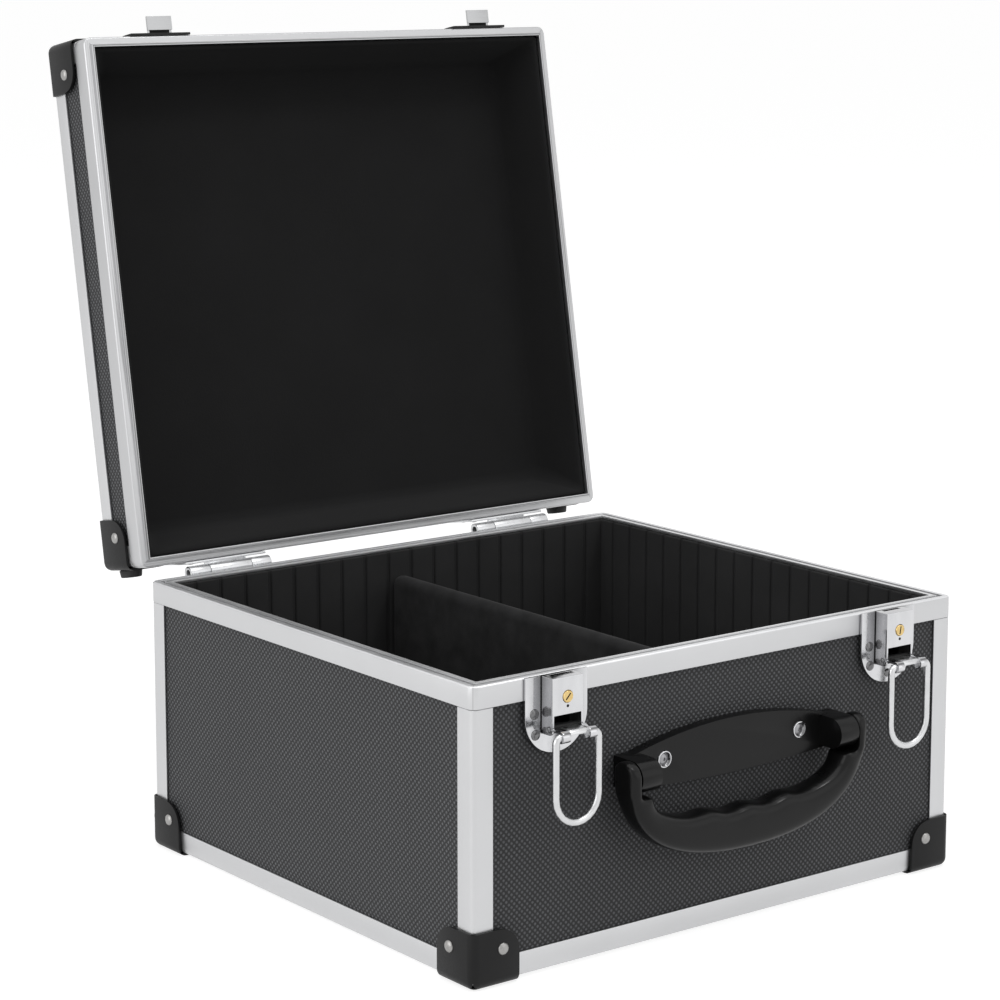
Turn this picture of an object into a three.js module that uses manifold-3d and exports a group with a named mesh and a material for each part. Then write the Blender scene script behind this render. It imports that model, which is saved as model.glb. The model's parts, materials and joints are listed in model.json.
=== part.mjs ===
// Aluminium case for compact discs, shown with its lid open.
// Millimetres, +Z up. The origin is on the floor, in the middle of the room that the open case
// takes up. The front, with the handle and the two latches, faces -Y, and the hinges are at +Y.
import * as THREE from 'three';
import { mergeVertices } from 'three/addons/utils/BufferGeometryUtils.js';
import { RoundedBoxGeometry } from 'three/addons/geometries/RoundedBoxGeometry.js';
import Module from 'manifold-3d';

const wasm = await Module();
wasm.setup();

// Overall sizes of the case
const case_width = 340;
const case_depth = 310;
const body_height = 157;
const lid_height = 43;
const lid_open_degrees = 100.1;
const seam_gap = 0.4;

// Clearances and the overrun of cutting tools
const fit_gap = 0.25;
const seat_gap = 0.3;
const running_gap = 0.3;
const overrun = 1;

// Extruded edge rails and corner posts
const rail_reach = 13;
const rail_wall = 1.2;
const rail_lip = 1;
const rail_radius = 3;
const panel_thickness = 4;

// Rim extrusions, where body and lid meet
const rim_height = 12;
const rim_width = 8.6;
const rim_proud = 0.5;
const rim_web = 3.4;
const rim_inner_leg = 9;
const rim_lip = 2;
const rim_edge = 0.7;
const rim_corner_radius = 4;
const groove_inset = 3.2;
const groove_width = 2.4;
const groove_depth = 1.9;
const tongue_height = 1.5;

// Black plastic corner protectors
const protector_reach = 28.5;
const protector_wall = 1.5;
const protector_radius = 5;
const protector_flange_radius = 13;

// Rubber feet on the back corners
const foot_radius = 6.8;
const foot_tip_radius = 6.2;
const foot_height = 4.2;
const foot_side_inset = 8.8;
const foot_end_inset = 14;

// Grooved wall linings, floor lining and lid tray
const lining_thickness = 3.5;
const lining_groove_width = 2.6;
const lining_groove_depth = 1.3;
const side_groove_pitch = 16.6;
const end_groove_pitch = 17.2;
const floor_lining_thickness = 3.5;
const tray_edge = 2.4;
const tray_slope = 13;
const tray_floor = 2.2;
const tray_recess = 0.9;

// Loose divider
const divider_thickness = 12;
const divider_shift = -2;
const divider_drop = 16.5;
const divider_gap = 0.5;

// Latches: pressed base plate with the raised housing
const latch_to_protector = 3.15;
const latch_plate_width = 40.5;
const latch_plate_height = 41.5;
const latch_plate_thickness = 1.4;
const housing_width = 20;
const housing_proud = 10.6;
const housing_wall = 1.2;
const housing_front_height = 19.6;
const housing_slot_width = 12.5;
const housing_slot_depth = 2.4;
const housing_slot_inset = 2.2;
const lug_radius = 3;
const pivot_drop = 27;
const pivot_proud = 7.6;
const pivot_pin_radius = 1.3;

// Latch lever
const lever_plate = 1.2;
const lever_knuckle_radius = 2.2;
const lever_tail = 4.6;
const lever_arm = 10.8;
const lever_tab_width = 22.4;
const curl_radius = 3.3;
const curl_drop = 1.6;

// Wire bail
const bail_wire = 3.8;
const bail_width = 27.7;
const bail_bend_radius = 2.9;
const bail_end_inset = 6;
const bail_length = 45.8;

// Lock cylinder
const lock_drop = 10.4;
const lock_radius = 3.1;
const lock_collar_radius = 4.3;
const lock_collar = 1;
const lock_proud = 0.5;
const lock_depth = 5;
const cam_length = 7.8;
const cam_width = 3.6;
const cam_thickness = 1.2;
const key_slot_width = 0.8;
const key_slot_length = 4.4;
const key_slot_depth = 0.9;
const key_slot_degrees = { left: 48, right: 80 };

// Lid catches
const catch_plate_height = 26;
const hook_width = 16.8;
const hook_sheet = 1.2;
const hook_near = 0.4;
const hook_seat = 5.3;
const hook_proud = 11.4;
const hook_mouth = 3.2;

// Handle bracket
const handle_drop = 59.5;
const bracket_to_grip_end = 8.4;
const bracket_proud = 5.6;
const bracket_crown = 17.8;
const bracket_end_top = 6.8;
const bracket_belly = 12.4;
const bracket_end_bottom = 9;
const boss_length = 13.4;
const boss_radius = 8.5;
const boss_proud = 14.2;
const boss_bore_depth = 8;
const screw_place_share = 0.6355;
const screw_rise = 2.8;
const screw_seat_radius = 4.9;
const screw_seat_depth = 1.4;

// Handle grip
const grip_to_bail = 17.95;
const grip_thickness = 18.4;
const grip_top = 9.2;
const grip_bottom = 51;
const grip_side_fall = 38;
const grip_bottom_run_share = 0.57;
const grip_arm = 16.4;
const grip_inner_bottom = 29;
const grip_inner_fall = 24;
const grip_inner_run_share = 0.59;
const grip_shoulder = 10.4;
const grip_round = 4.2;
const grip_pin_radius = 3;
const finger_pitch = 26.7;
const finger_bump = 2.6;
const finger_count = 3;

// Hinges
const left_hinge_to_protector = 1;
const right_hinge_to_protector = 15;
const hinge_drop = 1;
const hinge_width = 56;
const hinge_leaf = 1.4;
const hinge_leaf_height = 32;
const hinge_leaf_radius = 6;
const hinge_leaf_gap = 1;
const hinge_proud = 6.5;
const knuckle_radius = 4.2;
const end_knuckle = 13.5;
const hinge_pin_radius = 2;
const hinge_pin_recess = 2;
const stop_heel_top = 0.5;
const stop_heel_bottom = 3.2;

// Facets
const arc_facets = 6;
const round_facets = 20;

// Looks
const looks = {
  aluminium: { color: 0xd4d5d7, roughness: 0.36, metalness: 0.9 },
  panel: { color: 0x47494c, roughness: 0.62, metalness: 0.05 },
  plastic: { color: 0x2b2c2e, roughness: 0.5, metalness: 0 },
  rubber: { color: 0x1d1d1f, roughness: 0.85, metalness: 0 },
  chrome: { color: 0xcfd1d4, roughness: 0.16, metalness: 1 },
  brass: { color: 0xc9a154, roughness: 0.28, metalness: 1 },
  lining: { color: 0x1b1b1c, roughness: 0.95, metalness: 0 },
  steel: { color: 0x8b8d90, roughness: 0.4, metalness: 0.9 },
};

// Sizes that follow from the ones above
const half_width = case_width / 2;
const half_depth = case_depth / 2;
const channel = panel_thickness + fit_gap * 2;
const rail_core = rail_wall + channel + rail_lip;
const panel_inset = rail_wall + fit_gap;
const lining_inset = rail_core + seat_gap;
const lining_face = lining_inset + lining_thickness;
const hardware_face = rim_proud + fit_gap;
const plate_face = hardware_face + latch_plate_thickness;
const front_face = -half_depth - hardware_face;
const hinge_y = half_depth + hardware_face + hinge_proud;
const hinge_z = body_height - hinge_drop;
const lid_open = THREE.MathUtils.degToRad(lid_open_degrees);
const latch_x = half_width - protector_reach - latch_to_protector - latch_plate_width / 2;
const hinge_reach = half_width - protector_reach - hinge_width / 2;
const left_hinge_x = left_hinge_to_protector - hinge_reach;
const right_hinge_x = hinge_reach - right_hinge_to_protector;
const bail_half = (bail_width + bail_wire) / 2;
const grip_half_length = latch_x - bail_half - grip_to_bail;
const grip_inner_half = grip_half_length - grip_arm;
const grip_bottom_run = grip_half_length * grip_bottom_run_share;
const grip_inner_run = grip_inner_half * grip_inner_run_share;
const bracket_half_length = grip_half_length - bracket_to_grip_end;
const screw_x = bracket_half_length * screw_place_share;
const grip_ear_inside = bracket_half_length + running_gap * 6;
const half_turn = Math.PI;
const quarter_turn = Math.PI / 2;

// Turn a closed geometry into a solid for joining and cutting
function solidOf(geometry) {
  const bare = geometry.clone();
  bare.deleteAttribute('normal');
  bare.deleteAttribute('uv');
  const merged = mergeVertices(bare);
  return new wasm.Manifold(new wasm.Mesh({
    numProp: 3,
    vertProperties: new Float32Array(merged.attributes.position.array),
    triVerts: new Uint32Array(merged.index.array),
  }));
}

// Turn a solid back into a geometry
function geometryOf(solid) {
  const mesh = solid.getMesh();
  const geometry = new THREE.BufferGeometry();
  geometry.setAttribute('position', new THREE.BufferAttribute(new Float32Array(mesh.vertProperties), 3));
  geometry.setIndex(new THREE.BufferAttribute(new Uint32Array(mesh.triVerts), 1));
  geometry.computeVertexNormals();
  return geometry;
}

// A named piece with its own material
function piece(name, geometry, look) {
  const mesh = new THREE.Mesh(geometry, new THREE.MeshStandardMaterial(looks[look]));
  mesh.name = name;
  return mesh;
}

// Outlines
function outline(points) {
  return new THREE.Shape(points.map(([a, b]) => new THREE.Vector2(a, b)));
}

function rectangle(a0, b0, a1, b1) {
  return outline([[a0, b0], [a1, b0], [a1, b1], [a0, b1]]);
}

function disc(a, b, radius) {
  const shape = new THREE.Shape();
  shape.absarc(a, b, radius, 0, half_turn * 2, false);
  return shape;
}

// Extrusions of an outline along one axis, from one place to another
function extruded(shape, length, facets = arc_facets) {
  return new THREE.ExtrudeGeometry(shape, { depth: length, bevelEnabled: false, curveSegments: facets });
}

// Outline in x and y
function alongZ(shape, from, to, facets) {
  return extruded(shape, to - from, facets).translate(0, 0, from);
}

// Outline in x and z
function alongY(shape, from, to, facets) {
  return extruded(shape, to - from, facets).rotateX(quarter_turn).translate(0, to, 0);
}

// Outline in y and z
function alongX(shape, from, to, facets) {
  const axes = new THREE.Matrix4().makeBasis(
    new THREE.Vector3(0, 1, 0),
    new THREE.Vector3(0, 0, 1),
    new THREE.Vector3(1, 0, 0),
  );
  return extruded(shape, to - from, facets).applyMatrix4(axes).translate(from, 0, 0);
}

function block(x0, y0, z0, x1, y1, z1) {
  return alongZ(rectangle(x0, y0, x1, y1), z0, z1);
}

// A section swept round the four sides of the case, with round corners.
// The section is a list of [inset, height] points, counter-clockwise.
function sweptFrame(section, corner_radius) {
  const inner_radius = rim_edge / 2;
  const path = [];
  for (let corner = 0; corner < 4; corner += 1) {
    for (let step = 0; step <= arc_facets / 2; step += 1) {
      path.push({ corner, angle: quarter_turn * (corner - 2 + step / (arc_facets / 2)) });
    }
  }
  const sides = [[-1, -1], [1, -1], [1, 1], [-1, 1]];
  const vertices = [];
  for (const { corner, angle } of path) {
    for (const [inset, height] of section) {
      const radius = Math.max(corner_radius - inset, inner_radius);
      const [side_x, side_y] = sides[corner];
      vertices.push(
        side_x * (half_width - inset - radius) + radius * Math.cos(angle),
        side_y * (half_depth - inset - radius) + radius * Math.sin(angle),
        height,
      );
    }
  }
  const count = section.length;
  const faces = [];
  for (let k = 0; k < path.length; k += 1) {
    const here = k * count;
    const next = ((k + 1) % path.length) * count;
    for (let i = 0; i < count; i += 1) {
      const j = (i + 1) % count;
      faces.push(here + i, next + j, next + i, here + i, here + j, next + j);
    }
  }
  const geometry = new THREE.BufferGeometry();
  geometry.setAttribute('position', new THREE.Float32BufferAttribute(vertices, 3));
  geometry.setIndex(faces);
  geometry.computeVertexNormals();
  return geometry;
}

// Section of the edge rails and corner posts: an outer angle, a square core and two
// inner lips that leave a channel for the panel on each side.
function railSection() {
  const points = [];
  for (let step = 0; step <= arc_facets / 2; step += 1) {
    const angle = half_turn + quarter_turn * (step / (arc_facets / 2));
    points.push([rail_radius + rail_radius * Math.cos(angle), rail_radius + rail_radius * Math.sin(angle)]);
  }
  const lip = rail_wall + channel;
  points.push([rail_reach, 0], [rail_reach, rail_wall], [rail_core, rail_wall], [rail_core, lip]);
  points.push([rail_reach, lip], [rail_reach, rail_core], [rail_core, rail_core], [rail_core, rail_reach]);
  points.push([lip, rail_reach], [lip, rail_core], [rail_wall, rail_core], [rail_wall, rail_reach]);
  points.push([0, rail_reach]);
  return points;
}

function turnedOver(section, height) {
  return section.map(([inset, z]) => [inset, height - z]).reverse();
}

// Section of the body's rim, heights counted from its top face
function bodyRimSection() {
  const lip = rail_wall + channel;
  return [
    [-rim_proud, -rim_height], [rail_wall, -rim_height], [rail_wall, -rim_web], [lip, -rim_web],
    [lip, -rim_inner_leg], [rail_core, -rim_inner_leg], [rail_core, -rim_lip], [rim_width, -rim_lip],
    [rim_width, 0], [groove_inset + groove_width, 0], [groove_inset + groove_width, -groove_depth],
    [groove_inset, -groove_depth], [groove_inset, 0], [rim_edge - rim_proud, 0], [-rim_proud, -rim_edge],
  ];
}

// Section of the lid's rim, heights counted from the seam. It ends at its tongue, which drops into
// the groove of the body's rim.
function lidRimSection() {
  const tongue_inset = groove_inset + seat_gap;
  const tongue_end = groove_inset + groove_width - seat_gap;
  return [
    [-rim_proud, rim_edge], [rim_edge - rim_proud, 0], [tongue_inset, 0], [tongue_inset, -tongue_height],
    [tongue_end, -tongue_height], [tongue_end, rim_web], [rail_wall, rim_web], [rail_wall, rim_height],
    [-rim_proud, rim_height],
  ];
}

// The four upright corners, named and turned so that the post's section points inwards
const corners = [
  { name: 'front_left', x: -1, y: -1, turn: 0 },
  { name: 'front_right', x: 1, y: -1, turn: quarter_turn },
  { name: 'back_right', x: 1, y: 1, turn: half_turn },
  { name: 'back_left', x: -1, y: 1, turn: -quarter_turn },
];

function cornerPost(name, corner, from, to) {
  const post = piece(name, alongZ(outline(railSection()), from, to), 'aluminium');
  post.position.set(corner.x * half_width, corner.y * half_depth, 0);
  post.rotation.z = corner.turn;
  return post;
}

// One corner protector: three flanges that meet in a ball corner
function protectorGeometry() {
  const outer = protector_wall + seat_gap;
  const size = (protector_reach + outer) * 2;
  const ball = new RoundedBoxGeometry(size, size, size, 3, protector_radius);
  ball.translate(size / 2 - outer, size / 2 - outer, size / 2 - outer);
  const far = protector_reach;
  const near = -outer - overrun;
  let shell = solidOf(ball).intersect(solidOf(block(near, near, near, far, far, far)));
  const void_end = far + overrun;
  shell = shell.subtract(solidOf(block(-seat_gap, -seat_gap, -seat_gap, void_end, void_end, void_end)));
  const centre = far - protector_flange_radius;
  const waste = new THREE.Shape();
  waste.moveTo(centre, far);
  waste.absarc(centre, centre, protector_flange_radius, quarter_turn, 0, true);
  waste.lineTo(void_end, centre);
  waste.lineTo(void_end, void_end);
  waste.lineTo(centre, void_end);
  const cutters = [alongZ(waste, near, 0), alongY(waste, near, 0), alongX(waste, near, 0)];
  for (const cutter of cutters) {
    shell = shell.subtract(solidOf(cutter));
  }
  return geometryOf(shell);
}

// Protectors at the four bottom corners, or turned over for the four top corners
function protectors(prefix, height, over) {
  const shape = protectorGeometry();
  return corners.map((corner) => {
    const cap = piece(`${prefix}_protector_${corner.name}`, shape, 'plastic');
    cap.position.set(corner.x * half_width, corner.y * half_depth, height);
    cap.rotation.set(over ? half_turn : 0, 0, over ? corner.turn + quarter_turn : corner.turn, 'ZYX');
    return cap;
  });
}

// A rubber foot, standing out of the back wall on the protector
function backFoot(name, side, height) {
  const foot = piece(name, new THREE.CylinderGeometry(
    foot_radius, foot_tip_radius, foot_height, round_facets,
  ), 'rubber');
  const seat = half_depth + protector_wall + seat_gap * 2;
  foot.position.set(side * (half_width - foot_side_inset), seat + foot_height / 2, height);
  foot.rotation.x = half_turn;
  return foot;
}

// A wall lining with upright grooves on its inner face, modelled flat: x along the wall
function liningGeometry(length, pitch, height) {
  const half = length / 2;
  const half_groove = lining_groove_width / 2;
  const floor = lining_thickness - lining_groove_depth;
  const points = [[-half, 0], [half, 0], [half, lining_thickness]];
  const count = Math.floor((length - lining_groove_width * 2) / pitch);
  for (let groove = count - 1; groove >= 0; groove -= 1) {
    const middle = (groove - (count - 1) / 2) * pitch;
    points.push([middle + half_groove, lining_thickness], [middle + half_groove, floor]);
    points.push([middle - half_groove, floor], [middle - half_groove, lining_thickness]);
  }
  points.push([-half, lining_thickness]);
  return alongZ(outline(points), 0, height);
}

function bodyLinings(group) {
  const walls_from = rail_core + seat_gap;
  const height = body_height - rim_lip - seat_gap - walls_from;
  const side_length = case_depth - lining_inset * 2;
  const end_length = case_width - (lining_face + seat_gap) * 2;
  const rows = [
    ['left', -half_width + lining_inset, 0, -quarter_turn, side_length, side_groove_pitch],
    ['right', half_width - lining_inset, 0, quarter_turn, side_length, side_groove_pitch],
    ['front', 0, -half_depth + lining_inset, 0, end_length, end_groove_pitch],
    ['back', 0, half_depth - lining_inset, half_turn, end_length, end_groove_pitch],
  ];
  for (const [side, x, y, turn, length, pitch] of rows) {
    const wall = piece(`${side}_lining`, liningGeometry(length, pitch, height), 'lining');
    wall.position.set(x, y, walls_from);
    wall.rotation.z = turn;
    group.add(wall);
  }
  const clear = lining_face + seat_gap;
  group.add(piece('floor_lining', block(
    -half_width + clear, -half_depth + clear, walls_from,
    half_width - clear, half_depth - clear, walls_from + floor_lining_thickness,
  ), 'lining'));
}

// The five boards of an open box, held in the channels of rails, posts and rim
function boards(group, prefix, flat, wall_from, wall_to, flat_from) {
  const edge = rail_core + fit_gap;
  const inner = panel_inset + panel_thickness;
  const run_x = half_width - edge;
  const run_y = half_depth - edge;
  const out_x = half_width - panel_inset;
  const out_y = half_depth - panel_inset;
  const in_x = half_width - inner;
  const in_y = half_depth - inner;
  group.add(piece(`${prefix}_front_panel`, block(-run_x, -out_y, wall_from, run_x, -in_y, wall_to), 'panel'));
  group.add(piece(`${prefix}_back_panel`, block(-run_x, in_y, wall_from, run_x, out_y, wall_to), 'panel'));
  group.add(piece(`${prefix}_left_panel`, block(-out_x, -run_y, wall_from, -in_x, run_y, wall_to), 'panel'));
  group.add(piece(`${prefix}_right_panel`, block(in_x, -run_y, wall_from, out_x, run_y, wall_to), 'panel'));
  group.add(piece(
    `${prefix}_${flat}_panel`,
    block(-run_x, -run_y, flat_from, run_x, run_y, flat_from + panel_thickness), 'panel',
  ));
}

// Latch base plate: straight sides and a round end, x and z outline
function roundEndedPlate(width, height) {
  const radius = width / 2;
  const shape = new THREE.Shape();
  shape.moveTo(radius, 0);
  shape.lineTo(-radius, 0);
  shape.lineTo(-radius, radius - height);
  shape.absarc(0, radius - height, radius, half_turn, half_turn * 2, false);
  return shape;
}

// Latch housing, in its own frame: x across, y negative outwards, z down from the rim's top.
// The base plate and the raised box are one pressing.
function latchHousing() {
  const plate = alongY(
    roundEndedPlate(latch_plate_width, latch_plate_height), -latch_plate_thickness, 0, round_facets,
  );
  const half = housing_width / 2;
  const side = new THREE.Shape();
  side.moveTo(-latch_plate_thickness / 2, 0);
  side.lineTo(-latch_plate_thickness / 2, -pivot_drop - lug_radius);
  side.lineTo(-pivot_proud, -pivot_drop - lug_radius);
  side.absarc(-pivot_proud, -pivot_drop, lug_radius, -quarter_turn, -half_turn, true);
  side.lineTo(-housing_proud, -pivot_drop + lug_radius);
  side.lineTo(-housing_proud, 0);
  let box = solidOf(alongX(side, -half, half));
  const inside = half - housing_wall;
  box = box.subtract(solidOf(block(
    -inside, -housing_proud + housing_wall, -pivot_drop - lug_radius - overrun,
    inside, -latch_plate_thickness, -housing_wall,
  )));
  box = box.subtract(solidOf(block(
    -inside, -housing_proud - overrun, -pivot_drop - lug_radius - overrun,
    inside, -latch_plate_thickness, -housing_front_height,
  )));
  const slot = housing_slot_width / 2;
  box = box.subtract(solidOf(block(
    -slot, -housing_slot_inset - housing_slot_depth, -housing_wall - overrun,
    slot, -housing_slot_inset, overrun,
  )));
  const bore = alongY(disc(0, -lock_drop, lock_radius + running_gap), -housing_proud - overrun, -pivot_proud);
  box = box.subtract(solidOf(bore));
  const pin_hole = disc(-pivot_proud, -pivot_drop, pivot_pin_radius + running_gap);
  box = box.subtract(solidOf(alongX(pin_hole, -half - overrun, half + overrun)));
  return geometryOf(solidOf(plate).add(box));
}

// Lever, in a frame whose origin is its pivot: y negative outwards, rest pose level
function latchLever() {
  const inside = housing_width / 2 - housing_wall - running_gap;
  const web = solidOf(alongX(
    rectangle(-lever_arm, 0, lever_tail, lever_plate), -inside, inside,
  ));
  const tab_from = lug_radius + running_gap * 2;
  const half_tab = lever_tab_width / 2;
  const tab = solidOf(alongX(rectangle(-lever_arm, 0, -tab_from, lever_plate), -half_tab, half_tab));
  const knuckle = solidOf(alongX(disc(0, 0, lever_knuckle_radius), -inside, inside));
  const pin_reach = housing_width / 2 - fit_gap;
  const pin = solidOf(alongX(disc(0, 0, pivot_pin_radius), -pin_reach, pin_reach));
  const curl = solidOf(alongX(disc(-lever_arm, -curl_drop, curl_radius), -half_tab, half_tab));
  let lever = web.add(tab).add(knuckle).add(pin).add(curl);
  const bore_radius = bail_wire / 2 + running_gap;
  const bore = disc(-lever_arm, -curl_drop, bore_radius);
  const bore_from = half_tab - bail_end_inset;
  lever = lever.subtract(solidOf(alongX(bore, bore_from, half_tab + overrun)));
  lever = lever.subtract(solidOf(alongX(bore, -half_tab - overrun, -bore_from)));
  return geometryOf(lever);
}

// A wire's centre line through given points, with one section at each point
class WireLine extends THREE.Curve {
  constructor(points) {
    super();
    this.points = points;
  }

  indexAt(u) {
    return Math.round(u * (this.points.length - 1));
  }

  getPointAt(u) {
    return this.points[this.indexAt(u)].clone();
  }

  getTangentAt(u) {
    const index = this.indexAt(u);
    const last = this.points.length - 1;
    const before = this.points[Math.max(index - 1, 0)];
    const after = this.points[Math.min(index + 1, last)];
    return after.clone().sub(before).normalize();
  }
}

// Wire bail, in a frame whose origin is its swing axis, hanging down
function wireBail() {
  const half = bail_width / 2;
  const turn = bail_bend_radius;
  const stub = lever_tab_width / 2 - bail_end_inset + running_gap * 2;
  const right = [[stub, 0]];
  for (let step = 0; step <= arc_facets; step += 1) {
    const angle = quarter_turn * (1 - step / arc_facets);
    right.push([half - turn + turn * Math.cos(angle), -turn + turn * Math.sin(angle)]);
  }
  for (let step = 0; step <= arc_facets; step += 1) {
    const angle = -quarter_turn * (step / arc_facets);
    right.push([half * Math.cos(angle), half - bail_length + half * Math.sin(angle)]);
  }
  const left = right.slice(0, -1).map(([x, z]) => [-x, z]);
  const points = [...left, right[right.length - 1], ...right.slice(0, -1).reverse()];
  const line = new WireLine(points.map(([x, z]) => new THREE.Vector3(x, 0, z)));
  return new THREE.ExtrudeGeometry(disc(0, 0, bail_wire / 2), {
    steps: points.length - 1,
    curveSegments: arc_facets * 2,
    extrudePath: line,
  });
}

// Lock cylinder, in a frame whose origin is on its axis at the back of the base plate
function lockCylinder(slot_degrees) {
  const face = -housing_proud - lock_proud;
  const end = -housing_proud + lock_depth;
  const inner_wall = -housing_proud + housing_wall + fit_gap;
  const barrel = solidOf(alongY(disc(0, 0, lock_radius), face, end));
  const collar = solidOf(alongY(disc(0, 0, lock_collar_radius), inner_wall, inner_wall + lock_collar));
  const cam = solidOf(block(
    -cam_width / 2, end - cam_thickness, -cam_width / 2,
    cam_length, end, cam_width / 2,
  ));
  const slot = block(
    -key_slot_length / 2, face - overrun, -key_slot_width / 2,
    key_slot_length / 2, face + key_slot_depth, key_slot_width / 2,
  ).rotateY(-THREE.MathUtils.degToRad(slot_degrees));
  return geometryOf(barrel.add(collar).add(cam).subtract(solidOf(slot)));
}

// One latch on the body: housing, lock cylinder, lever and bail
function latch(side, name) {
  const group = new THREE.Group();
  group.name = `${name}_latch`;
  group.position.set(side * latch_x, front_face, body_height);
  group.add(piece(`${name}_latch_housing`, latchHousing(), 'chrome'));
  const lock = piece(`${name}_lock_cylinder`, lockCylinder(key_slot_degrees[name]), 'brass');
  lock.position.set(0, 0, -lock_drop);
  const lever = new THREE.Group();
  lever.name = `${name}_latch_lever_pivot`;
  lever.position.set(0, -pivot_proud, -pivot_drop);
  lever.add(piece(`${name}_latch_lever`, latchLever(), 'chrome'));
  const bail = piece(`${name}_latch_bail`, wireBail(), 'chrome');
  bail.position.set(0, -lever_arm, -curl_drop);
  lever.add(bail);
  group.add(lock, lever);
  return group;
}

// Plan of the hook: straight towards the seam, bowed where the round end of the bail bears on it
function hookPlan(half, radius, centre, near) {
  const reach = Math.sqrt(radius * radius - half * half);
  const angle = Math.atan2(reach, half);
  const shape = new THREE.Shape();
  shape.moveTo(-half, near);
  shape.lineTo(half, near);
  shape.absarc(0, centre, radius, angle, half_turn - angle, false);
  return shape;
}

// Lid catch: base plate and a hook bent over into a U, in the lid's frame of the latch
function lidCatch() {
  const plate = alongY(
    roundEndedPlate(latch_plate_width, catch_plate_height), -latch_plate_thickness, 0, round_facets,
  ).rotateY(half_turn);
  const radius = (bail_width - bail_wire) / 2 - seat_gap;
  const centre = hook_seat - radius;
  const half = hook_width / 2;
  const inner = hook_near + hook_sheet;
  const inner_radius = radius - hook_sheet;
  const inner_half = Math.sqrt(inner_radius * inner_radius - (inner - centre) * (inner - centre));
  let hook = solidOf(alongY(
    hookPlan(half, radius, centre, hook_near), -hook_proud, -latch_plate_thickness / 2, arc_facets * 2,
  ));
  hook = hook.subtract(solidOf(alongY(
    hookPlan(inner_half, inner_radius, centre, inner),
    hook_sheet - hook_proud, -latch_plate_thickness, arc_facets * 2,
  )));
  hook = hook.subtract(solidOf(block(
    -half - overrun, -hook_mouth, hook_near - overrun, half + overrun, -latch_plate_thickness, inner,
  )));
  return geometryOf(solidOf(plate).add(hook));
}

// Handle bracket, in a frame whose origin is the middle of the grip's axis, y negative outwards
function handleBracket() {
  const back = boss_proud + panel_inset - seat_gap;
  const face = boss_proud - bracket_proud;
  const half = bracket_half_length;
  const plan = new THREE.Shape();
  plan.moveTo(-half, -bracket_end_bottom);
  plan.quadraticCurveTo(0, bracket_end_bottom - bracket_belly * 2, half, -bracket_end_bottom);
  plan.lineTo(half, bracket_end_top);
  plan.quadraticCurveTo(0, bracket_crown * 2 - bracket_end_top, -half, bracket_end_top);
  let bracket = solidOf(alongY(plan, face, back, round_facets));
  const section = new THREE.Shape();
  section.moveTo(back, -boss_radius);
  section.lineTo(0, -boss_radius);
  section.absarc(0, 0, boss_radius, -quarter_turn, -half_turn - quarter_turn, true);
  section.lineTo(back, boss_radius);
  const boss_end = grip_ear_inside - running_gap * 2;
  for (const side of [-1, 1]) {
    const near = side > 0 ? boss_end - boss_length : -boss_end;
    bracket = bracket.add(solidOf(alongX(section, near, near + boss_length, round_facets)));
    const bore_from = side > 0 ? boss_end - boss_bore_depth : -boss_end - overrun;
    const bore = disc(0, 0, grip_pin_radius + running_gap);
    bracket = bracket.subtract(solidOf(alongX(bore, bore_from, bore_from + boss_bore_depth + overrun)));
    const seat = disc(side * screw_x, screw_rise, screw_seat_radius);
    bracket = bracket.subtract(solidOf(alongY(seat, face - overrun, face + screw_seat_depth)));
  }
  return geometryOf(bracket);
}

function bezier(a, b, c, d, share) {
  const rest = 1 - share;
  return a * rest ** 3 + b * 3 * rest ** 2 * share + c * 3 * rest * share ** 2 + d * share ** 3;
}

// Front outline of the grip: a D with three finger bumps along its inner edge
function gripOutline() {
  const half = grip_half_length;
  const outer = [];
  const inner = [];
  const steps = arc_facets * 2;
  for (let step = 0; step <= steps; step += 1) {
    const share = step / steps;
    const x = bezier(half, half, grip_bottom_run, 0, share);
    outer.push([x, -bezier(0, grip_side_fall, grip_bottom, grip_bottom, share)]);
  }
  for (let step = 0; step <= round_facets; step += 1) {
    const share = step / round_facets;
    const x = bezier(grip_inner_half, grip_inner_half, grip_inner_run, 0, share);
    const fall = bezier(grip_shoulder, grip_inner_fall, grip_inner_bottom, grip_inner_bottom, share);
    const wave = (1 + Math.cos(half_turn * 2 * x / finger_pitch)) / 2;
    const bump = x < finger_pitch * finger_count / 2 ? finger_bump * wave : 0;
    inner.push([x, bump - fall]);
  }
  const right = [[half, grip_top], ...outer];
  const left = right.slice(0, -1).map(([x, z]) => [-x, z]).reverse();
  const inner_left = [[grip_inner_half, grip_top], ...inner].map(([x, z]) => [-x, z]);
  const inner_right = [[grip_inner_half, grip_top], ...inner.slice(0, -1)].reverse();
  return outline([...right, ...left, ...inner_left, ...inner_right]);
}

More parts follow.
